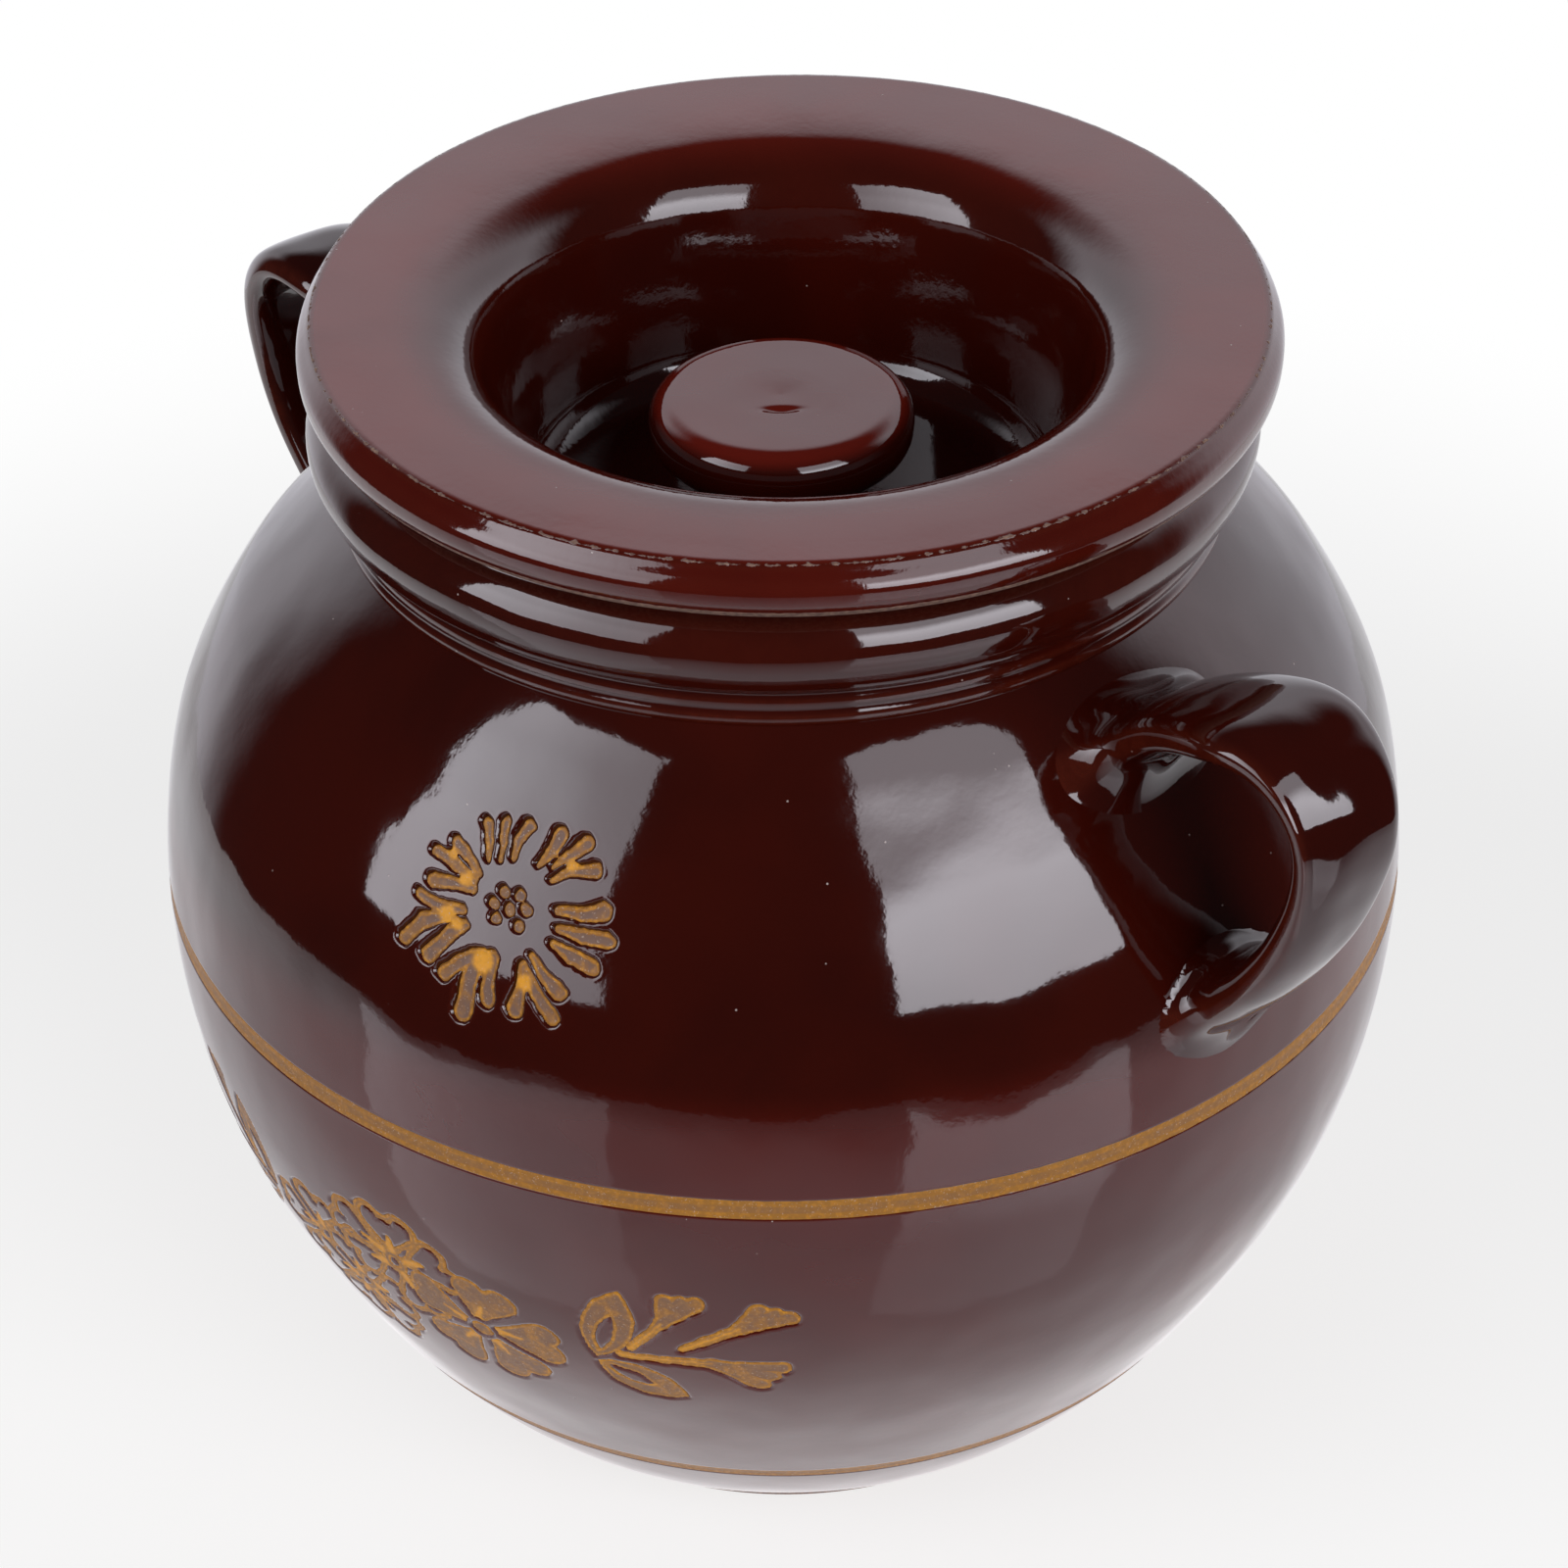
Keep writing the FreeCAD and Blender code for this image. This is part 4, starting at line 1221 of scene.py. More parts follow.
@dataclass
class Sprig:
    """Two leaves and three buds at one side of the blossoms, drawn in leaf lengths.

    Args:
        side: 1 to the right of the blossoms, -1 to their left.
        arc: Way round from the blossoms in millimetres.
        rise: Height over the blossoms.
        size: Length of a leaf.
        outward: How far the whole sprig is pushed out.
        leaves: Base, tip and width of each leaf.
        buds: Start, neck, left lobe and right lobe of each bud.
        eye: Ends of a leaf's open eye as shares of its length, and the eye's share of its width.
        stem_width: Width of a stem at its neck.
        lobe_width: Width of a lobe.
    """

    side: int
    arc: float = 46.0
    rise: float = 7.4
    size: float = 17.0
    outward: float = 0.9
    leaves: tuple[tuple[Point, Point, float], ...] = (
        ((-0.72, -0.4), (-0.46, 0.58), 0.46),
        ((-0.72, -0.48), (0.06, -0.88), 0.42),
    )
    buds: tuple[tuple[Point, ...], ...] = (
        ((-0.4, -0.18), (-0.1, 0.24), (-0.05, 0.55), (0.21, 0.55)),
        ((0.06, -0.09), (0.57, 0.25), (0.74, 0.5), (1.0, 0.4)),
        ((-0.5, -0.3), (0.3, -0.28), (0.9, -0.32), (0.72, -0.58)),
    )
    eye: Triple = (0.1, 0.66, 0.36)
    stem_width: float = 0.11
    lobe_width: float = 0.16

    def plane(self, middle: TouchPlane) -> TouchPlane:
        """The sprig's own drawing plane beside the blossoms'."""
        turn = math.degrees(self.arc / 100.0)
        return TouchPlane(middle.azimuth + self.side * turn, middle.height + self.rise)

    def at(self, point: Point) -> Point:
        """Place in millimetres of a point given in leaf lengths."""
        return self.side * (point[0] * self.size + self.outward), point[1] * self.size

    def leaf_drawing(self, u: Array, v: Array) -> Array:
        """Leaves, each with its eye left open.

        Args:
            u: Places to the right.
            v: Places upward.

        Returns:
            Signed distances.
        """
        drawn = []
        first, last, share = self.eye
        for base, tip, width in self.leaves:
            a, b = self.at(base), self.at(tip)
            whole = leaf(u, v, a, b, width * self.size)
            eye = leaf(u, v, between(a, b, first), between(a, b, last), share * width * self.size)
            drawn.append(np.minimum(whole, -eye))
        return joined(drawn)

    def bud_drawing(self, u: Array, v: Array) -> Array:
        """Buds: a stem that widens, with three lobes at its head.

        Args:
            u: Places to the right.
            v: Places upward.

        Returns:
            Signed distances.
        """
        drawn = []
        wide, lobe = self.stem_width * self.size, self.lobe_width * self.size
        for points in self.buds:
            start, neck, left, right = (self.at(point) for point in points)
            parts = [stroke(u, v, start, neck, 0.7 * wide, wide)]
            heads = (left, right, between(left, right, 0.5))
            parts += [stroke(u, v, neck, end, wide, lobe) for end in heads]
            drawn.append(joined(parts, 0.6))
        return joined(drawn)

    def rich(self, u: Array, v: Array) -> Array:
        """Share of thick golden slip, which lies along the stems."""
        stems = [stroke(u, v, self.at(points[0]), self.at(points[1]), 0.9, 0.4) for points in self.buds]
        return smooth_step(*RICH_EDGE, joined(stems))


# The pot


@dataclass(frozen=True)
class Carving:
    """How ornament is cut and filled: a wall of smooth-step section round a flat floor, with slip
    that dips a little towards its middle and falls away at its edge. Heights count from the
    outside inward, places from the drawn edge inward.

    Args:
        depth: Depth of the cut's floor.
        outer: Place at which the cut's wall starts.
        inner: Place at which it reaches the floor.
        slip: Depth of the slip's face.
        dip: How much deeper its middle is.
        dip_reach: Place at which the dip is whole.
        drop: How much deeper its edge is.
        drop_edge: Places between which the edge falls.
        slip_margin: Place at which the slip's mesh ends.
        under: Depth of the slip's underside.
        side_cut: How far the flower's cut reaches past its slip.
    """

    depth: float = 0.85
    outer: float = -0.36
    inner: float = 0.4
    slip: float = 0.32
    dip: float = 0.1
    dip_reach: float = 0.9
    drop: float = 0.7
    drop_edge: Pair = (-0.05, -0.4)
    slip_margin: float = -0.75
    under: float = 1.05
    side_cut: float = 0.55

    def cut(self, within: Array) -> Array:
        """Depth of the clay at a distance inside the drawing."""
        return self.depth * smooth_step(self.outer, self.inner, within)

    def fill(self, within: Array) -> Array:
        """Depth of the slip at a distance inside the drawing."""
        dipped = self.slip + self.dip * smooth_step(0.0, self.dip_reach, within)
        return dipped + self.drop * smooth_step(*self.drop_edge, within)


@dataclass(frozen=True)
class Zone:
    """Stretch of the belly with a window of finer mesh round its ornament.

    Args:
        low: Height at which it starts.
        high: Height at which it ends.
        window: Azimuths and heights of the window: first, last, lowest, highest.
        fine: Mesh pitch in the window.
        carving: How its ornament is cut and filled.
        coarse_degrees: Column pitch outside the window.
        coarse: Row pitch outside the window.
        groove_pitch: Row pitch at a band's groove.
        neck_run: Length of the closer rows below the neck, and their pitch.
    """

    low: float
    high: float
    window: tuple[float, float, float, float]
    fine: float
    carving: Carving
    coarse_degrees: float = 3.0
    coarse: float = 1.3
    groove_pitch: float = 0.25
    neck_run: Pair = (2.0, 0.5)

    def columns(self, belly: Belly) -> Array:
        """Azimuths of the columns, once round.

        Args:
            belly: The pot's outside.

        Returns:
            The columns.
        """
        first, last, bottom, top = self.window
        pitch = math.degrees(self.fine / belly.radius((bottom + top) / 2))
        return steps([first, last, first + 360], [pitch, self.coarse_degrees])[:-1]

    def rows(self, belly: Belly, band: float) -> Array:
        """Distances along the section of the rows, closer at the band grooves.

        Args:
            belly: The pot's outside.
            band: Half the stretch of a groove.

        Returns:
            The rows.
        """
        low, high = belly.along(self.low), belly.along(self.high)
        bottom, top = belly.along(self.window[2]), belly.along(self.window[3])
        run, pitch = (band, self.groove_pitch) if self.high < belly.neck[1] else self.neck_run
        stops = [low, low + band, bottom, top, high - run, high]
        return steps(stops, [self.groove_pitch, self.coarse, self.fine, self.coarse, pitch])


@dataclass
class Pot:
    """The crock's own pieces: foot, belly, shoulder, neck, inside, bands and slip ornament. Its
    section lines are given as (radius, height, bow of the run to the next stop)."""

    belly: Belly
    glaze: Material
    slip: Material
    band_slip: Material
    flower: Flower = field(default_factory=Flower)
    blossoms: Blossoms = field(default_factory=Blossoms)
    sprigs: tuple[Sprig, ...] = (Sprig(1), Sprig(-1))
    band_heights: dict[str, float] = field(default_factory=lambda: {"lower": 29.2, "upper": 102.0})
    band_half: float = 1.3
    band_margin: float = 0.8  # stretch beside a band that its groove takes up
    band_skirt: float = 0.4  # how far a band's ring reaches past its edge
    band_swing: Pair = (0.12, 19.0)  # height and length of its sideways waver
    band_carving: Carving = Carving(
        depth=0.4, outer=-0.5, inner=0.2, slip=0.08, dip=0.05, drop=0.0, under=0.38
    )
    band_lip: float = -0.55  # place of the lip beside a band's groove
    lip_width: float = 0.3
    lip_rise: float = 0.015
    lip_thin: float = 0.2
    waver: tuple[Pair, Pair] = ((0.22, 3.3), (0.1, 1.1))  # heights and lengths, for drawn edges
    cut_way: Point = (0.8, -0.6)  # way that the flower's cut lies aside, turned round
    least_rich: float = 0.2
    seed_gain: float = 0.3  # how much farther from the edge the seeds count as lying
    warm_fade: Pair = (122.0, 112.0)  # heights between which the painted bounce light on the belly comes up
    foot: tuple[Triple, ...] = (
        (0.0, 2.5, 0.0),
        (50.0, 2.5, 0.0),
        (50.0, 0.0, 0.0),
        (58.0, 0.0, 0.0),
        (58.0, 3.0, 0.0),
    )
    foot_bare: float = 3.4  # height up to which the foot is bare clay
    neck: tuple[Triple, ...] = (
        (69.05, 163.6, 0.34),
        (69.0, 165.75, 0.0),
        (68.85, 165.95, 0.34),
        (68.75, 168.3, 0.0),
        (68.7, 168.75, 0.9),
        (73.1, 174.1, 1.5),
        (70.0, 181.8, 0.0),
        (69.5, 183.7, 0.0),
        (62.0, 183.7, 0.88),
        (59.0, 180.7, 0.0),
    )
    neck_bare: Pair = (183.4, 61.0)  # height over which and radius outside which the seat is bare
    neck_turn: float = 0.12
    neck_thin: float = 0.35
    inside: tuple[Triple, ...] = (
        (59.0, 180.7, 0.0),
        (59.0, 158.7, -9.07),
        (93.0, 97.0, -7.7),
        (63.1, 16.6, -1.6),
        (54.0, 9.5, 0.0),
        (0.0, 9.5, 0.0),
    )
    inside_oval: Pair = (120.0, 160.0)  # heights between which the inside goes out of round

    def hand_cut(self, u: Array, v: Array, seed: float) -> tuple[Array, Array]:
        """Places pulled about a little, so that drawn edges waver as a hand cuts them.

        Args:
            u: Places to the right.
            v: Places upward.
            seed: Number that turns and shifts the waver.

        Returns:
            The pulled u and v.
        """
        (wide, long), (small, short) = self.waver
        right = u + wide * ripple(u, v, long, seed) + small * ripple(u, v, short, seed + 2)
        up = v + wide * ripple(u, v, long, seed + 5) + small * ripple(u, v, short, seed + 7)
        return right, up

    def groove(self, along: Array) -> Array:
        """Distance inside the nearer band at each row."""
        gaps = [np.abs(along - self.belly.along(height)) for height in self.band_heights.values()]
        return self.band_half - np.minimum(*gaps)

    def flower_drawings(self, points: Array, carving: Carving) -> tuple[dict[str, Array], Array, Array]:
        """Drawings on the shoulder. Their cut is also drawn a little aside, so that it reaches
        past the slip there.

        Args:
            points: Rows x columns x 3 points of the outside.
            carving: How they are cut and filled.

        Returns:
            Signed distances by drawing, the share of thick slip, and those of the whole cut.
        """
        u, v = self.hand_cut(*self.flower.plane.coordinates(self.belly, points), seed=1.0)
        drawn = {"strokes": self.flower.strokes(u, v), "seeds": self.flower.seeds(u, v)}
        a, b = u + self.cut_way[0] * carving.side_cut, v + self.cut_way[1] * carving.side_cut
        cut = joined([*drawn.values(), self.flower.strokes(a, b), self.flower.seeds(a, b)], 0.2)
        return drawn, self.flower.rich(u, v), cut

    def spray_drawings(self, points: Array) -> tuple[dict[str, Array], Array, Array]:
        """Drawings on the belly.

        Args:
            points: Rows x columns x 3 points of the outside.

        Returns:
            Signed distances by drawing, the share of thick slip, and those of the whole cut.
        """
        u, v = self.hand_cut(*self.blossoms.plane.coordinates(self.belly, points), seed=2.0)
        drawn, rich = {"blossoms": self.blossoms.drawing(u, v)}, [self.blossoms.rich(u, v)]
        leaves, buds = [], []
        for sprig in self.sprigs:
            plane = sprig.plane(self.blossoms.plane)
            u, v = self.hand_cut(*plane.coordinates(self.belly, points), seed=3.0)
            leaves.append(sprig.leaf_drawing(u, v))
            buds.append(sprig.bud_drawing(u, v))
            rich.append(sprig.rich(u, v))
        drawn["leaves"], drawn["buds"] = joined(leaves), joined(buds)
        share = self.least_rich + (1 - self.least_rich) * np.maximum.reduce(rich)
        return drawn, share, joined(list(drawn.values()))

    def lip(self, within: Array, edge: float) -> Array:
        """Share of the raised lip beside a cut: a bell curve round the place of its edge."""
        return np.exp(-(((within - edge) / self.lip_width) ** 2))

    def build_zone(self, name: str, zone: Zone, slips: dict[str, tuple[str, str]]) -> None:
        """Piece of the outside with its carving, and the slip that fills it: the turned surface
        less the carving's depth along its normal.

        Args:
            name: Name of the clay piece.
            zone: Its stretch and mesh.
            slips: For each drawing, the slip's name and the node it stands for.
        """
        columns = zone.columns(self.belly)
        rows = zone.rows(self.belly, self.band_half + self.band_margin)
        points, normals = self.belly.surface(columns, rows)
        on_shoulder = zone.low > self.belly.widest_height
        drawings = self.flower_drawings(points, zone.carving) if on_shoulder else self.spray_drawings(points)
        drawn, rich, cut = drawings
        front = np.abs((columns - np.mean(zone.window[:2]) + 180) % 360 - 180) < 90
        whole = np.where(front[None, :], cut, -FAR)
        groove = self.groove(rows)[:, None]
        depth = np.maximum(zone.carving.cut(whole), self.band_carving.cut(groove))
        lip = self.lip(whole, zone.carving.outer) + self.lip(groove, self.band_lip)
        carved = points - normals * (depth - self.lip_rise * lip)[..., None]
        thin = np.clip(self.lip_thin * lip, 0, 1)
        # painted light: below these heights the glaze is painted lighter and redder, for light thrown up from
        # the table
        warm = LOW_WARMTH * smooth_step(*self.warm_fade, points[..., 2])
        values = glaze_numbers(thin.shape, thin=thin, warm=warm)
        glaze_clay(Lattice(carved, values).build(name), self.glaze, "crock_body")
        first, last = (int(np.argmin(np.abs(columns - edge))) for edge in zone.window[:2])
        window = (slice(None), slice(first, last + 1))
        area, out = points[window], normals[window]
        under = area - out * zone.carving.under
        for key, (piece_name, node) in slips.items():
            within = drawn[key][window]
            kept = (within[:-1, :-1] + within[1:, 1:]) / 2 > zone.carving.slip_margin
            top = area - out * zone.carving.fill(within)[..., None]
            gain = self.seed_gain if key == "seeds" else 0.0
            piece = thin_solid(piece_name, top, under, kept, {"within": within + gain, "rich": rich[window]})
            finish_piece(piece, self.slip, Slot.SLIP, Body.CROCK, node)

    def build_band(self, which: str) -> None:
        """Slip band: a flat ring in its groove, closed underneath.

        Args:
            which: lower or upper.
        """
        middle = self.belly.along(self.band_heights[which])
        reach = self.band_half + self.band_skirt
        across = np.linspace(-reach, reach, 15)
        columns = np.arange(0, 360, 0.75)
        points, normals = self.belly.surface(columns, middle + across)
        gain, length = self.band_swing
        swing = gain * ripple(np.radians(columns) * 95, np.zeros(columns.shape), length, 4.0)
        within = self.band_half - np.abs(across[:, None] - swing[None, :])
        top = points - normals * self.band_carving.fill(within)[..., None]
        under = (points - normals * self.band_carving.under)[::-1]
        loop = np.concatenate([top, under, top[:1]])
        values = np.concatenate([within, within[::-1], within[:1]])
        ring = Lattice(loop, {"within": values, "rich": 0 * values}).build(f"slip_band_{which}")
        finish_piece(ring, self.band_slip, Slot.SLIP, Body.CROCK, f"{which}_band")

    def build_foot(self) -> None:
        """Foot and heel: a section line from the middle of the underside to the lower band."""
        start = spaced(bowed_line([*self.foot, (*self.belly.heel, 0)]), 0.7, 0.5)
        top = self.belly.along(self.band_heights["lower"])
        rows = steps([0, top - self.band_half - self.band_margin, top], [1.2, 0.25])
        height = np.interp(rows, self.belly.reach, self.belly.heights)
        radius = self.belly.radius_at(height) - self.band_carving.cut(self.groove(rows))
        line = np.concatenate([start[:-1], np.stack([radius, height], axis=1)])
        points = self.belly.oval.turned(line, np.arange(0, 360, 2.0), 0.0)
        bare = np.where(line[:, 1:] < self.foot_bare, 1.0, 0.0)
        # painted light: the foot has the whole painted bounce light of the lower belly
        values = glaze_numbers(points.shape[:2], bare=bare, warm=LOW_WARMTH)
        glaze_clay(Lattice(points, values, start_pole=True).build("crock_foot"), self.glaze, "crock_body")

    def build_neck(self, columns: Array) -> None:
        """Neck with two thrown ridges, the rim's bead and the flat seat: a section line of arcs,
        softened as glaze pools in its corners.

        Args:
            columns: Azimuths of the shoulder's columns, which it meets.
        """
        top = self.belly.neck[1]
        line = spaced(bowed_line([(self.belly.radius(top), top, 0.0), *self.neck]), 0.28, 0.36)
        points = self.belly.oval.turned(line, columns)
        height, radius = self.neck_bare
        bare = np.where((line[:, 1:] > height) & (line[:, :1] > radius), 1.0, 0.0)
        thin = self.neck_thin * convexity(line, self.neck_turn)
        values = glaze_numbers(points.shape[:2], thin=thin, bare=bare)
        glaze_clay(Lattice(points, values).build("crock_neck"), self.glaze, "crock_body")

    def build_inside(self, columns: Array) -> None:
        """Inside wall and floor of the pot: two arcs and a rounded floor.

        Args:
            columns: Azimuths of the neck's columns, which it meets.
        """
        line = spaced(bowed_line(list(self.inside)), 2.0, 0.6)
        points = self.belly.oval.turned(line, columns, smooth_step(*self.inside_oval, line[:, 1:]))
        piece = Lattice(points, glaze_numbers(points.shape[:2]), end_pole=True).build("crock_inside")
        glaze_clay(piece, self.glaze, "crock_body")

    def build(self) -> None:
        """Make every piece of the pot."""
        low, high = self.band_heights["lower"], self.band_heights["upper"]
        spray = Zone(
            low=low,
            high=high,
            window=(-120.6, -40.4, 44.0, 88.8),
            fine=0.32,
            carving=Carving(depth=0.5, outer=-0.6, inner=0.3, slip=0.15, dip=0.07, drop=0.42, under=0.6),
        )
        shoulder = Zone(
            low=high,
            high=self.belly.neck[1],
            window=(-82.4, -55.6, 122.5, 153.5),
            fine=0.2,
            carving=Carving(),
            coarse_degrees=2.5,
            coarse=1.2,
        )
        self.build_foot()
        self.build_zone("crock_belly", spray, {
            "blossoms": ("slip_blossoms", "blossom_inlay"),
            "leaves": ("slip_leaves", "leaf_inlay"),
            "buds": ("slip_buds", "bud_inlay"),
        })
        self.build_zone("crock_shoulder", shoulder, {
            "strokes": ("slip_flower_strokes", "flower_petals"),
            "seeds": ("slip_flower_seeds", "flower_seeds"),
        })
        columns = shoulder.columns(self.belly)
        self.build_neck(columns)
        self.build_inside(columns)
        for which in self.band_heights:
            self.build_band(which)


# The ears


@dataclass
class Ear:
    """Strap ear in an upright plane: a centre line through (radius, height) with a width and a
    thickness at each stop, and a rounded oblong section. Its two roots are pressed on to the
    belly, so each spreads into a hollow collar. Thumbs have left dents on its outer face, which
    leans to one side at the top of the loop."""

    name: str
    node: str
    azimuth: float
    seed: float
    belly: Belly
    stops: tuple[tuple[float, ...], ...] = (  # radius, height, width and thickness
        (75.6, 151.2, 21.5, 8.4),
        (79.2, 154.9, 21.0, 8.0),
        (86.5, 161.6, 20.8, 7.8),
        (97.0, 166.4, 22.6, 7.7),
        (107.5, 166.9, 21.6, 7.0),
        (114.2, 160.2, 18.8, 6.6),
        (114.4, 148.6, 17.4, 7.0),
        (110.8, 137.2, 17.4, 7.4),
        (104.6, 127.2, 17.8, 7.8),
        (98.4, 120.2, 18.4, 8.0),
        (92.6, 115.0, 19.0, 8.2),
    )
    collars: Pair = (8.2, 5.6)  # radius at the upper and the lower root
    collar_waver: Pair = (0.22, 17.0)  # share and length of the collars' unevenness
    collar_sink: float = 62.0  # divides the squared push to sink a collar into the belly
    lean: Triple = (0.17, 51.0, 15.0)  # slope of the outer face, its place along the strap and its reach
    dents: tuple[tuple[float, ...], ...] = (  # place along, place across, reach and depth
        (22.0, -3.0, 5.5, 0.3),
        (34.0, 3.0, 5.0, 0.3),
        (41.0, -3.0, 3.2, 0.16),
        (45.0, 1.0, 2.6, -0.12),
        (49.0, -4.0, 2.6, 0.14),
        (51.5, 2.5, 2.8, 0.13),
        (55.0, -2.0, 2.6, -0.1),
        (63.0, 2.0, 6.0, 0.3),
    )
    back_dent: float = 0.4  # share of a dent that shows on the inner face
    side_power: float = 0.9
    face_power: float = 0.74
    face_edge: Pair = (0.1, 0.8)  # sines between which the face's unevenness comes up
    roots: Pair = (26.0, 22.0)  # lengths at the roots over which it comes up
    face_waves: tuple[Pair, Pair] = ((0.16, 15.0), (0.05, 4.4))  # heights and lengths
    side_wave: Pair = (0.4, 21.0)  # height and length
    rows: int = 231
    ring: int = 112
    thin_edge: float = 0.4

    def collar(self, points: Array, core: Array) -> Array:
        """Points pushed outward along the belly near it: at a distance d the push is the gap that
        a circle of the collar's radius leaves beside its upright tangent.

        Args:
            points: Rows x columns x 3 points of the strap.
            core: Rows x 1 x 3 points of its centre line.

        Returns:
            The spread points.
        """
        height = np.clip(points[..., 2], self.belly.heel[1], self.belly.neck[1])
        slope = np.interp(height, self.belly.heights, np.gradient(self.belly.radii, self.belly.heights))
        lean = 1 / np.sqrt(1 + slope * slope)
        turn = np.arctan2(points[..., 1], points[..., 0])
        out = np.stack([lean * np.cos(turn), lean * np.sin(turn), -slope * lean], axis=-1)
        gap = (np.hypot(points[..., 0], points[..., 1]) - self.belly.radius_at(height)) * lean
        rows = np.arange(len(points))[:, None]
        share, length = self.collar_waver
        waver = ripple(points[..., 0] + points[..., 2], 2 * points[..., 1], length, self.seed)
        size = np.where(rows < len(points) / 2, *self.collars) * (1 + share * waver)
        near = np.clip(size - gap, 0, size)
        push = size - np.sqrt(np.maximum(size * size - near * near, 0))
        away = points - core
        away = away - out * (away * out).sum(axis=-1, keepdims=True)
        away = away / np.maximum(np.linalg.norm(away, axis=-1, keepdims=True), TINY)
        sink = push * push / self.collar_sink
        return points + away * push[..., None] - out * sink[..., None]

    def section(self, at: Array, end: float, line: Array, phase: Array) -> tuple[Array, Array]:
        """Section at each place: across is a power of the cosine of an angle and outward a power
        of its sine, less the dents' bells.

        Args:
            at: Distances along the strap, rows x 1.
            end: Length of the strap.
            line: Radius, height, width and thickness there, rows x 4.
            phase: Angles round the section, 1 x columns.

        Returns:
            Distances across and outward from the centre line, rows x columns each.
        """
        cosine, sine = np.cos(phase), np.sin(phase)
        across = line[:, 2:3] / 2 * np.sign(cosine) * np.abs(cosine) ** self.side_power
        power = np.where(sine > 0, self.face_power, self.side_power)
        outward = line[:, 3:4] / 2 * np.sign(sine) * np.abs(sine) ** power
        face = smooth_step(*self.face_edge, np.abs(sine)) * np.sign(sine)
        bells = [
            depth * np.exp(-((at - place) ** 2 + (across - side) ** 2) / reach**2)
            for place, side, reach, depth in self.dents
        ]
        outward = outward - face * sum(bells) * np.where(sine > 0, 1.0, self.back_dent)
        slope, middle, wide = self.lean
        outward = outward + slope * across * np.exp(-(((at - middle) / wide) ** 2)) * np.clip(face, 0, 1)
        clear = smooth_step(0.0, self.roots[0], at) * smooth_step(0.0, self.roots[1], end - at)
        for number, (height, length) in enumerate(self.face_waves):
            wave = ripple(at + 0 * across, (1 - 0.3 * number) * across, length, self.seed + number)
            outward = outward + height * wave * np.abs(face) * clear
        height, length = self.side_wave
        return across + height * ripple(at + 0 * across, 4 * sine, length, self.seed + 3), outward

    def build(self, glaze: Material) -> None:
        """Sweep the section along the spline through the stops.

        Args:
            glaze: Finish of the ear.
        """
        stops = np.array(self.stops)
        knots = np.concatenate([[0], np.cumsum(np.hypot(*np.diff(stops[:, :2], axis=0).T))])
        at = np.linspace(0, knots[-1], self.rows)[:, None]
        line = natural_spline(knots, stops, at[:, 0])
        along = np.gradient(line[:, :2], axis=0)
        along /= np.linalg.norm(along, axis=1)[:, None]
        phase = np.linspace(0, 2 * math.pi, self.ring, endpoint=False)[None, :]
        across, outward = self.section(at, knots[-1], line, phase)
        turn = math.radians(self.azimuth)

        def placed(side: Array, up: Array) -> Array:
            """Points at distances across and outward from the centre line.

            Args:
                side: Distances across.
                up: Distances outward.

            Returns:
                Rows x columns x 3 points.
            """
            radius = line[:, :1] - up * along[:, 1:]
            height = line[:, 1:2] + up * along[:, :1]
            x = radius * math.cos(turn) - side * math.sin(turn)
            y = radius * math.sin(turn) + side * math.cos(turn)
            return np.stack([x, y, height + 0 * x], axis=-1)

        core = placed(0 * at, 0 * at)
        points = self.collar(placed(across, outward), core)
        points = np.concatenate([core[:1] + 0 * points[:1], points, core[-1:] + 0 * points[-1:]])
        thin = self.thin_edge * smooth_step(0.8, 1.0, np.abs(np.cos(phase)))
        values = glaze_numbers(points.shape[:2], thin=thin)
        piece = Lattice(points, values, start_pole=True, end_pole=True).build(self.name)
        glaze_clay(piece, glaze, self.node)


# The lid


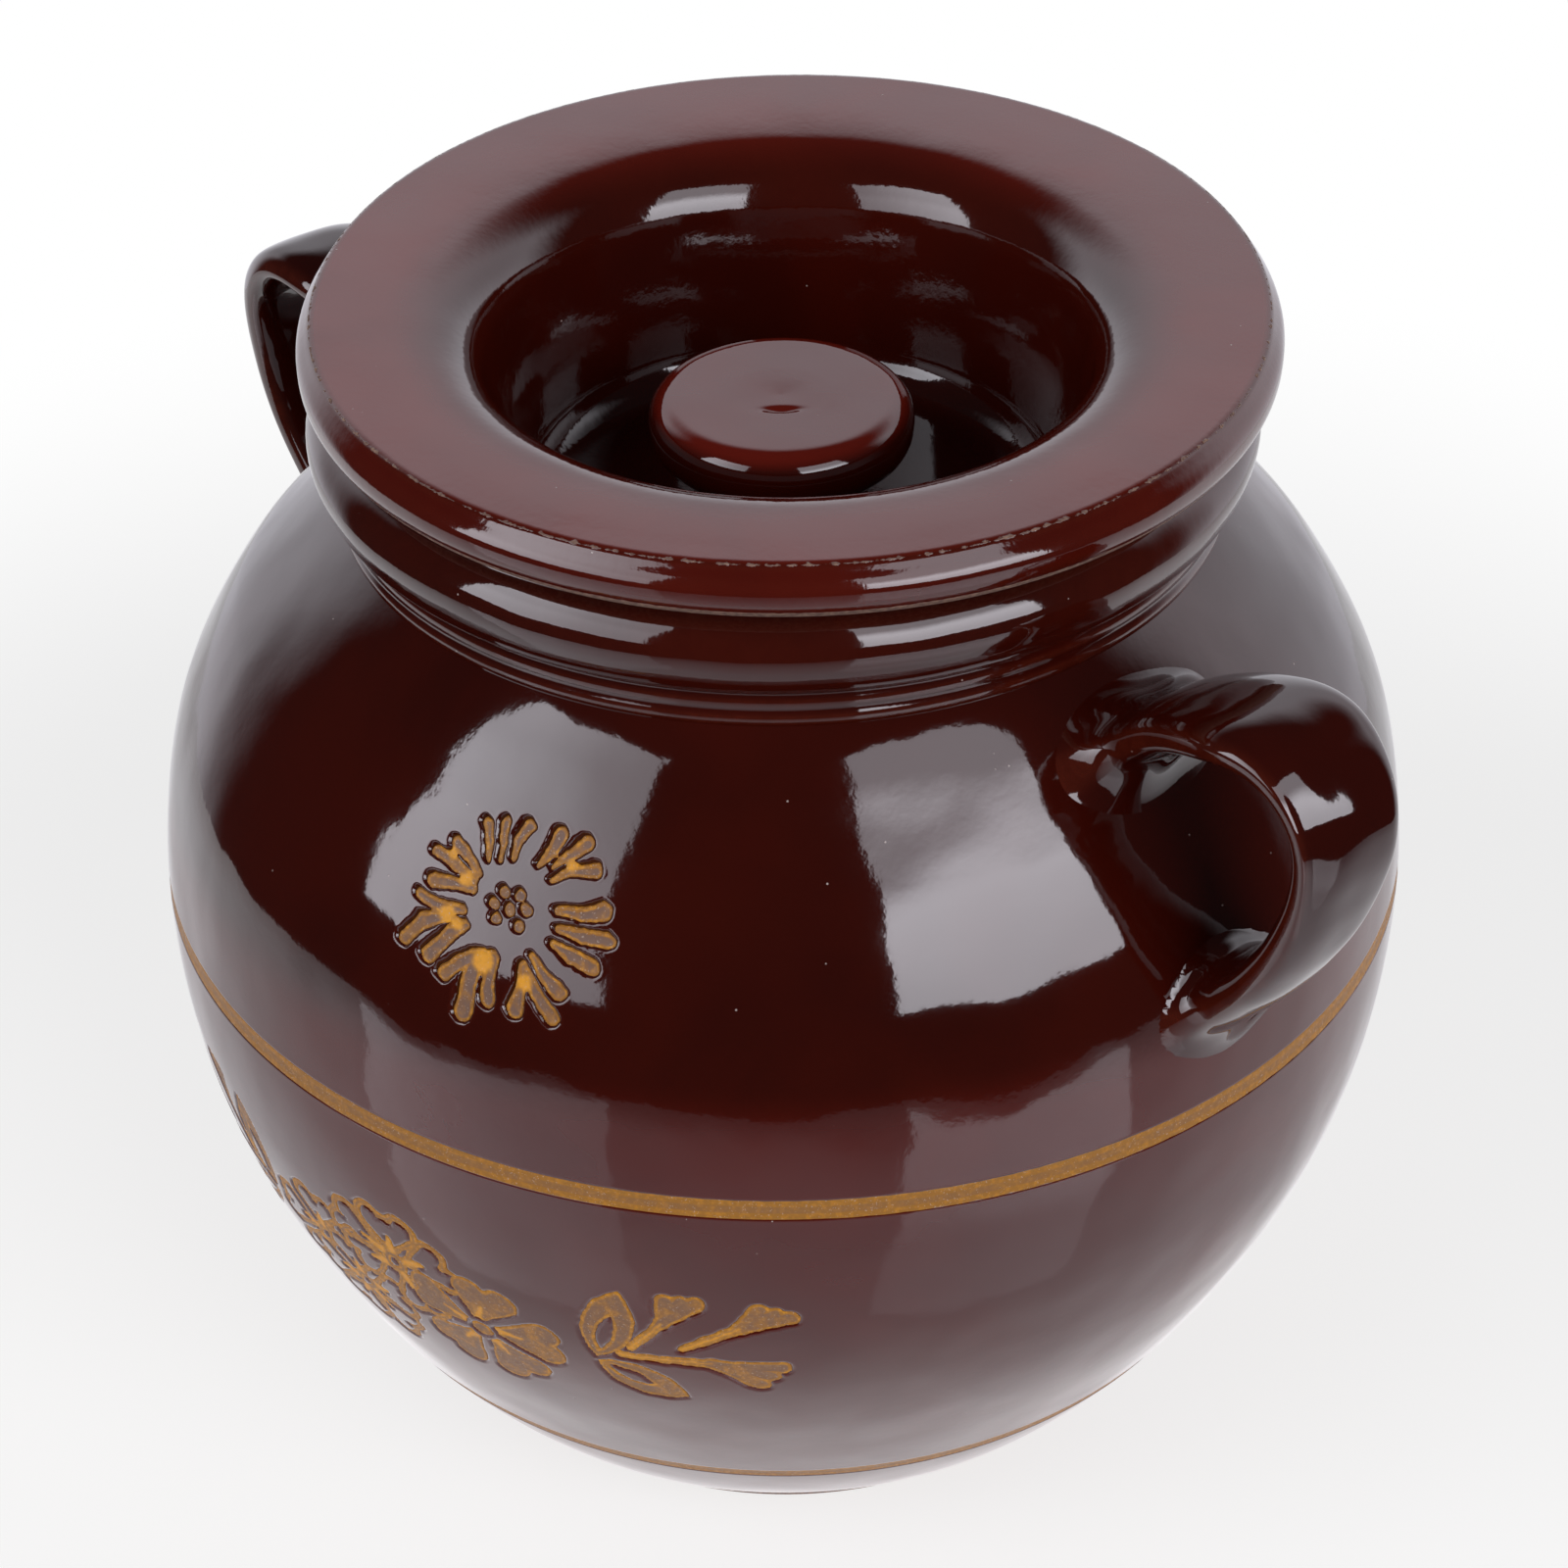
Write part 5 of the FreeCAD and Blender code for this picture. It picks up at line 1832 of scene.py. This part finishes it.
@dataclass
class Lid:
    """Lift-off lid: a flat flange round a well, with a button knob that stands in the well."""

    flange: float = 77.0
    top: float = 194.7
    seat: float = 184.0
    slant: Pair = (2.3, 3.2)  # how far its top edge is cut back inward and down
    top_round: float = 5.0
    bottom_round: float = 4.4
    front_drop: float = 2.2  # how far its top leans to the front, across lean_reach
    lean_reach: float = 160.0
    lip: float = 48.75
    lip_round: float = 11.0
    slope_from: float = 63.5  # radius at which the top starts to slope to the lip
    slope_round: float = 100.0
    lip_drop: float = 1.7
    floor_radius: float = 43.2
    floor: float = 157.8
    corner: float = 6.5
    outer_well: float = 53.6
    well_taper: float = 4.2  # how much less its radius is at the underside
    underside: float = 151.8
    rim_oval: Oval = Oval(-0.05, 0.005, 1.9, 2.0)
    well_oval: Oval = Oval(-0.042, 0.0, 1.6, -1.6)
    oval_change: Pair = (74.0, 56.0)  # radii between which the flange's shape becomes the well's
    bare_rise: float = 2.1  # height over the seat up to which the edge is bare clay
    crease_bare: Pair = (0.6, 0.5)  # share and reach of dashed bare clay on the top edge's crease, partly pulled-back glaze and partly a painted highlight line
    edge_turn: float = 0.2  # turn between two points that counts as a sharp edge
    edge_thin: float = 0.25
    # painted light: the top and a band inside the edge are painted lighter and redder
    top_warmth: float = 1.0
    top_fade: Pair = (6.5, 2.5)  # depths below the top between which its painted light comes up
    lip_fade: Pair = (49.0, 63.0)  # radii between which the painted light comes up
    edge_fade: Pair = (2.0, 3.2)  # distances inside the flange's edge between which the painted light comes up
    edge_warmth: float = 0.3
    edge_band: Pair = (3.2, 1.5)  # distances inside the edge between which the edge's painted light comes up
    knob_oval: Oval = Oval(-0.03, 0.0, 0.4, -0.6)
    knob_radius: float = 21.1
    knob_top: float = 177.2
    knob_underside: float = 167.6
    knob_foot: float = 0.6  # how much less its radius is at its underside
    knob_rounds: Triple = (2.4, 4.4, 3.9)  # of its root, its lower edge and its top edge
    knob_hollow: Pair = (8.0, 0.25)  # radius and depth of its hollow top
    stem: float = 14.0
    stem_sink: float = 1.3
    dimple: Triple = (2.3, 0.75, 0.5)  # half width, half length and depth
    dimple_back: float = -5.4  # its place behind the axis
    knob_warmth: float = 0.85
    knob_fade: Pair = (2.4, 0.4)  # depths below its top between which its painted light comes up

    def shell_line(self) -> Array:
        """Section from the middle of the underside round the flange and down the well.

        Returns:
            Points (radius, height) of the section.
        """
        line = rounded_line([
            (0, self.underside, 0),
            (self.outer_well - self.well_taper, self.underside, self.corner),
            (self.outer_well, self.seat, 0.8),
            (self.flange, self.seat, self.bottom_round),
            (self.flange, self.top - self.slant[1], self.top_round),
            (self.flange - self.slant[0], self.top, 0.5),
            (self.slope_from, self.top, self.slope_round),
            (self.lip, self.top - self.lip_drop, self.lip_round),
            (self.floor_radius, self.floor, self.corner),
            (0, self.floor, 0),
        ])
        return spaced(line, 0.55, 0.25)

    def shell_numbers(self, line: Array, grid: tuple[int, int]) -> dict[str, Array]:
        """Numbers that the glaze reads on the shell: bare clay up to just over the seat and, dashed, along
        the top edge's crease, thin glaze on sharp edges, painted light as a lighter, redder glaze on the top
        and the edge.

        Args:
            line: Section of the shell.
            grid: Rows and columns of its grid.

        Returns:
            Whole grids by name.
        """
        radius, height = line[:, :1], line[:, 1:]
        outside = np.arange(len(line))[:, None] < np.argmax(radius)
        # painted highlight: the dashed bare clay along the crease is partly a painted glint line
        share, reach = self.crease_bare
        crease = np.hypot(radius - self.flange + self.slant[0], height - self.top)
        bare = 1.0 * (outside & (height < self.seat + self.bare_rise))
        bare = np.maximum(bare, share * np.exp(-((crease / reach) ** 2)))
        below, inside = self.top - height, self.flange - radius
        # painted light on the top and the band inside the edge
        warm = self.top_warmth * smooth_step(*self.top_fade, below) * smooth_step(*self.lip_fade, radius)
        warm = warm * smooth_step(*self.edge_fade, inside)
        warm = np.maximum(warm, self.edge_warmth * smooth_step(*self.edge_band, inside))
        thin = self.edge_thin * convexity(line, self.edge_turn)
        return glaze_numbers(grid, bare=bare, thin=thin, warm=warm)

    def build_shell(self, glaze: Material) -> None:
        """Flange and well: the closed section line turned round the axis, oval like the flange
        outside and like the well inside, its top leaning to the front.

        Args:
            glaze: Finish of the lid.
        """
        line, columns = self.shell_line(), np.arange(0, 360, 1.5)
        rim, well = (oval.turned(line, columns) for oval in (self.rim_oval, self.well_oval))
        points = rim + (well - rim) * smooth_step(*self.oval_change, line[:, :1])[..., None]
        back = seen(points)[1]
        lean = smooth_step(self.seat + 2, self.top, points[..., 2])
        points[..., 2] -= self.front_drop * (0.5 - back / self.lean_reach) * lean
        values = self.shell_numbers(line, points.shape[:2])
        piece = Lattice(points, values, start_pole=True, end_pole=True).build("lid_shell")
        glaze_clay(piece, glaze, "lid", Body.COVER)

    def build_knob(self, glaze: Material) -> None:
        """Button knob: a rounded section line, with a narrow bell-shaped dimple in its top.

        Args:
            glaze: Finish of the knob.
        """
        start = self.floor - self.stem_sink
        root, lower, upper = self.knob_rounds
        line = rounded_line([
            (0, start, 0),
            (self.stem, start, 0.3),
            (self.stem, self.knob_underside, root),
            (self.knob_radius - self.knob_foot, self.knob_underside, lower),
            (self.knob_radius, self.knob_top, upper),
            (self.knob_hollow[0], self.knob_top, 0.5),
            (0, self.knob_top - self.knob_hollow[1], 0),
        ])
        line = spaced(line, 0.33, 0.4)
        points = self.knob_oval.turned(line, np.arange(0, 360, 1.5))
        right, back = seen(points)
        right, back = right - self.knob_oval.push, back - self.dimple_back
        wide, long, deep = self.dimple
        dimple = deep * np.exp(-((right / wide) ** 2) - (back / long) ** 2)
        points[..., 2] -= dimple * (np.arange(len(line)) > len(line) // 2)[:, None]
        # painted light: the knob's top is painted lighter and redder
        warm = self.knob_warmth * smooth_step(*self.knob_fade, self.knob_top - line[:, 1:])
        values = glaze_numbers(points.shape[:2], warm=warm)
        piece = Lattice(points, values, start_pole=True, end_pole=True).build("lid_button")
        glaze_clay(piece, glaze, "lid_knob", Body.COVER)


# The studio


@dataclass(frozen=True)
class Softbox:
    """Upright panel of light that dims towards some of its edges.

    Args:
        azimuth: Degrees from the viewing side, to the right.
        distance: Metres from the axis.
        width: Metres.
        low: Metres above the floor at which it starts.
        high: Metres at which it ends.
        glow: Brightness of its face.
        left_share: Brightness of its left edge as seen from the crock, as a share.
        right_share: Brightness of its right edge, as a share.
        top_share: Brightness of its top, as a share.
        low_share: Brightness of its bottom, as a share.
        top_run: Shares of the height between which it changes towards the top.
        low_run: Shares of the height between which it changes from the bottom.
    """

    azimuth: float
    distance: float
    width: float
    low: float
    high: float
    glow: float
    left_share: float
    right_share: float
    top_share: float
    low_share: float
    top_run: Pair = (0.34, 0.62)
    low_run: Pair = (0.0, 0.45)

    def shade(self, lamp: bpy.types.AreaLight) -> None:
        """Nodes for the face: three soft gradients multiplied.

        Args:
            lamp: The lamp to dress.
        """
        lamp.use_nodes = True
        s = Shader.over(lamp.node_tree)
        place = s.node("ShaderNodeNewGeometry").outputs["Parametric"]
        face = s.node("ShaderNodeSeparateXYZ", {0: place})
        across, up = face.outputs["X"], face.outputs["Y"]
        side = s.spread(across, 0.0, 1.0, self.left_share, self.right_share)
        top = s.spread(up, *self.top_run, 1.0, self.top_share)
        bottom = s.spread(up, *self.low_run, self.low_share, 1.0)
        strength = s.times(side, s.times(top, bottom))
        emission = s.node("ShaderNodeEmission", {"Strength": strength})
        s.node("ShaderNodeOutputLight", {"Surface": emission.outputs[0]})

    def build(self, name: str) -> None:
        """Rectangular lamp that faces the axis; its power is pi times area times brightness.

        Args:
            name: Name of the lamp.
        """
        lamp = bpy.data.lights.new(name, "AREA")
        lamp.shape = "RECTANGLE"
        lamp.size, lamp.size_y = self.width, self.high - self.low
        lamp.energy = math.pi * lamp.size * lamp.size_y * self.glow
        lamp.color = LIGHT_TINT
        self.shade(lamp)
        panel = bpy.data.objects.new(name, lamp)
        turn = math.radians(VIEW_AZIMUTH + self.azimuth)
        middle = (self.low + self.high) / 2
        panel.location = (self.distance * math.cos(turn), self.distance * math.sin(turn), middle)
        panel.rotation_euler = (math.pi / 2, 0, turn + math.pi / 2)
        panel.visible_camera = False
        bpy.context.scene.collection.objects.link(panel)


def level_way(azimuth: float) -> Triple:
    """Level direction of length 1 at an azimuth from the viewing side."""
    turn = math.radians(VIEW_AZIMUTH + azimuth)
    return (math.cos(turn), math.sin(turn), 0.0)


@dataclass(frozen=True)
class Camera:
    """Camera on the viewing side, aimed at the axis and rolled a little."""

    distance: float = 0.5333
    elevation: float = 34.97
    height: float = 0.102
    lens: float = 74.54
    sensor: float = 36.0
    shift: Pair = (0.000625, 0.01)
    roll: float = -0.63

    def build(self) -> None:
        """Make the camera and give it to the scene."""
        data = bpy.data.cameras.new("view")
        data.lens, data.sensor_width = self.lens, self.sensor
        data.shift_x, data.shift_y = self.shift
        camera = bpy.data.objects.new("view", data)
        turn, rise = math.radians(VIEW_AZIMUTH), math.radians(self.elevation)
        back = Vector((math.cos(turn) * math.cos(rise), math.sin(turn) * math.cos(rise), math.sin(rise)))
        aim = back.to_track_quat("Z", "Y").to_matrix().to_4x4()
        place = Matrix.Translation(Vector((0, 0, self.height)) + back * self.distance)
        camera.matrix_world = place @ aim @ Matrix.Rotation(math.radians(self.roll), 4, "Z")
        bpy.context.scene.collection.objects.link(camera)
        bpy.context.scene.camera = camera


@dataclass(frozen=True)
class Table:
    """Round glossy table top in the plane z = 0. It is pale, with painted shade that makes it darker
    towards the viewer and its edge. In the crock's gloss it glows with painted light, most behind the crock
    and round its foot. To the camera it is plain and pale round the crock, where it keeps the shadow, and
    fades into the white room. Each run of four numbers is the places, in metres, between which a share
    changes, and the shares there."""

    radius: float = 0.47
    rings: tuple[float, ...] = (0.0, 0.15, 0.3, 0.45, 1.0)
    # painted shade and painted light: the pale runs darken the top towards the viewer and the edge, the glow
    # runs make it glow in the crock's gloss
    pale_ahead: tuple[float, ...] = (0.12, 0.42, 0.9, 0.42)
    pale_reach: tuple[float, ...] = (0.33, 0.47, 1.0, 0.6)
    glow_ahead: tuple[float, ...] = (-0.08, 0.24, 0.45, 0.0)
    glow_reach: tuple[float, ...] = (0.07, 0.15, 0.42, 0.0)
    roughness: float = 0.06
    ior: float = 1.8
    plain: Colour = rgb(0.43, 0.434, 0.403)
    lift: float = 0.68
    fade_from: float = 0.2
    fade_share: float = 0.9

    def surface(self) -> Piece:
        """Table top: rings of points round its middle.

        Returns:
            The new object.
        """
        radius = np.array(self.rings)[:, None] * self.radius / METRES
        turn = np.radians(np.arange(0, 360, 3.0))[None, :]
        points = np.stack([radius * np.cos(turn), radius * np.sin(turn), 0 * radius * turn], axis=-1)
        return Lattice(points[::-1], end_pole=True).build("table")

    def material(self) -> Material:
        """Node material of the top.

        Returns:
            The material.
        """
        s = Shader("white_table")
        reach = s.node("ShaderNodeVectorMath", {0: s.place()}, operation="LENGTH").outputs["Value"]
        ways = {0: s.place(), 1: level_way(0.0)}
        ahead = s.node("ShaderNodeVectorMath", ways, operation="DOT_PRODUCT").outputs["Value"]
        # painted shade: darker towards the viewer and the edge
        pale = s.times(s.spread(ahead, *self.pale_ahead), s.spread(reach, *self.pale_reach))
        colour = s.blend(pale, rgb(0, 0, 0), rgb(1, 1, 1))
        inputs = {"Base Color": colour, "Roughness": self.roughness, "IOR": self.ior}
        gloss = s.node("ShaderNodeBsdfPrincipled", inputs).outputs[0]
        # painted light: the top glows in the crock's gloss, behind the crock and round its foot
        near = s.spread(reach, *self.glow_reach)
        strength = s.sum(s.spread(ahead, *self.glow_ahead), near)
        glow = s.node("ShaderNodeEmission", {"Strength": strength}).outputs[0]
        mirrored = s.node("ShaderNodeAddShader", {0: gloss, 1: glow}).outputs[0]
        plain = s.node("ShaderNodeBsdfDiffuse", {"Color": self.plain}).outputs[0]
        lift = s.node("ShaderNodeEmission", {"Strength": self.lift}).outputs[0]
        shown = s.node("ShaderNodeAddShader", {0: plain, 1: lift}).outputs[0]
        white = s.node("ShaderNodeEmission", {"Strength": 1.0}).outputs[0]
        far = s.spread(reach, self.fade_from, self.radius * self.fade_share)
        shown = s.node("ShaderNodeMixShader", {0: far, 1: shown, 2: white}).outputs[0]
        ray = s.node("ShaderNodeLightPath").outputs
        dim = s.node("ShaderNodeMixShader", {0: ray["Is Glossy Ray"], 1: gloss, 2: mirrored}).outputs[0]
        mix = s.node("ShaderNodeMixShader", {0: ray["Is Camera Ray"], 1: dim, 2: shown}).outputs[0]
        return s.close(mix)

    def build(self) -> None:
        """Make the table and stage it."""
        table = self.surface()
        table.data.materials.append(self.material())


@dataclass(frozen=True)
class Room:
    """Room's glow: a bright wall behind the crock, brightest at mid height, dark on the viewing
    side, and white to the camera. Each run of four numbers is the heights of a direction, as
    sines, between which the glow changes, and the glows there."""

    middle: float = 170.0  # where the wall is, from the viewing side
    edge: Pair = (0.24, 0.62)  # cosines from its middle between which the wall comes up
    core: Pair = (0.45, 0.9)  # cosines between which its straight part comes up
    glow: float = 1.05
    dark: float = 0.02
    high: tuple[float, ...] = (0.36, 0.5, 0.77, 0.84)
    low: tuple[float, ...] = (0.1, 0.32, 0.15, 0.0)
    ceiling: tuple[float, ...] = (0.5, 0.76, 1.0, 0.0)

    def build(self) -> None:
        """Make the room as the scene's world: turned is the cosine of the level angle between a
        direction and the wall's middle."""
        world = bpy.data.worlds.new("room")
        world.use_nodes = True
        bpy.context.scene.world = world
        s = Shader.over(world.node_tree)
        way = s.node("ShaderNodeTexCoord").outputs["Generated"]
        height = s.node("ShaderNodeSeparateXYZ", {0: way}).outputs["Z"]
        ways = {0: way, 1: level_way(self.middle)}
        facing = s.node("ShaderNodeVectorMath", ways, operation="DOT_PRODUCT").outputs["Value"]
        square = s.sum(1.0, s.times(height, height), -1.0)
        level = s.node("ShaderNodeMath", {0: square, 1: 0.5}, operation="POWER").outputs[0]
        turned = s.node("ShaderNodeMath", {0: facing, 1: level}, operation="DIVIDE").outputs[0]
        wall = s.spread(turned, *self.edge)
        straight = s.sum(s.spread(height, *self.high), s.spread(height, *self.low))
        share = s.spread(turned, *self.core)
        glow = s.sum(self.glow, s.times(share, s.sum(straight, self.glow, -1.0)))
        lit = s.sum(self.dark, s.times(wall, glow), s.spread(height, *self.ceiling))
        camera = s.node("ShaderNodeLightPath").outputs["Is Camera Ray"]
        strength = s.node("ShaderNodeMix", {"Factor": camera, 2: lit, 3: 1.0}).outputs[0]
        colour = s.blend(camera, (*LIGHT_TINT, 1.0), rgb(1, 1, 1))
        back = s.node("ShaderNodeBackground", {"Color": colour, "Strength": strength})
        s.node("ShaderNodeOutputWorld", {"Surface": back.outputs[0]})


@dataclass(frozen=True)
class Studio:
    """Camera, panels of light, pale round table and the room's glow."""

    camera: Camera = Camera()
    softboxes: tuple[Softbox, ...] = (
        Softbox(
            azimuth=37.5, distance=1.1, width=0.82, low=0.255, high=1.5, glow=5.1,
            left_share=1.0, right_share=1.0, top_share=0.36, low_share=0.75,
        ),
        Softbox(
            azimuth=-53.5, distance=1.1, width=0.92, low=0.255, high=1.5, glow=3.9,
            left_share=1.0, right_share=0.5, top_share=0.85, low_share=0.9,
        ),
    )
    table: Table = Table()
    room: Room = Room()

    def build(self) -> None:
        """Make the whole studio."""
        self.camera.build()
        for number, softbox in enumerate(self.softboxes):
            softbox.build(f"softbox_{number}")
        self.table.build()
        self.room.build()
        bpy.context.scene.view_settings.view_transform = "Standard"


def main() -> None:
    """Build the studio and the crock."""
    logging.basicConfig(level=logging.INFO, format="%(message)s", stream=sys.stdout)
    Studio().build()
    gold, dull = rgb(0.64, 0.275, 0.022), rgb(0.4, 0.175, 0.024)
    bands = Slip("ochre_band_slip", gold=gold, dull=dull, grey_share=0.35, edge=0.6)
    glaze, ornament = Glaze("red_brown_glaze"), Slip("ochre_slip")
    pot = Pot(Belly(), glaze.material(), ornament.material(), bands.material())
    pot.build()
    Ear("ear_right", "right_ear", -3.7, 1.0, pot.belly).build(pot.glaze)
    Ear("ear_left", "left_ear", 183.8, 8.0, pot.belly).build(pot.glaze)
    lid_glaze = Glaze("lid_glaze", roughness=0.05, wave=0.5, peel=0.02)
    lid = Lid()
    lid.build_shell(lid_glaze.material())
    lid.build_knob(pot.glaze)


if __name__ == "__main__":
    main()
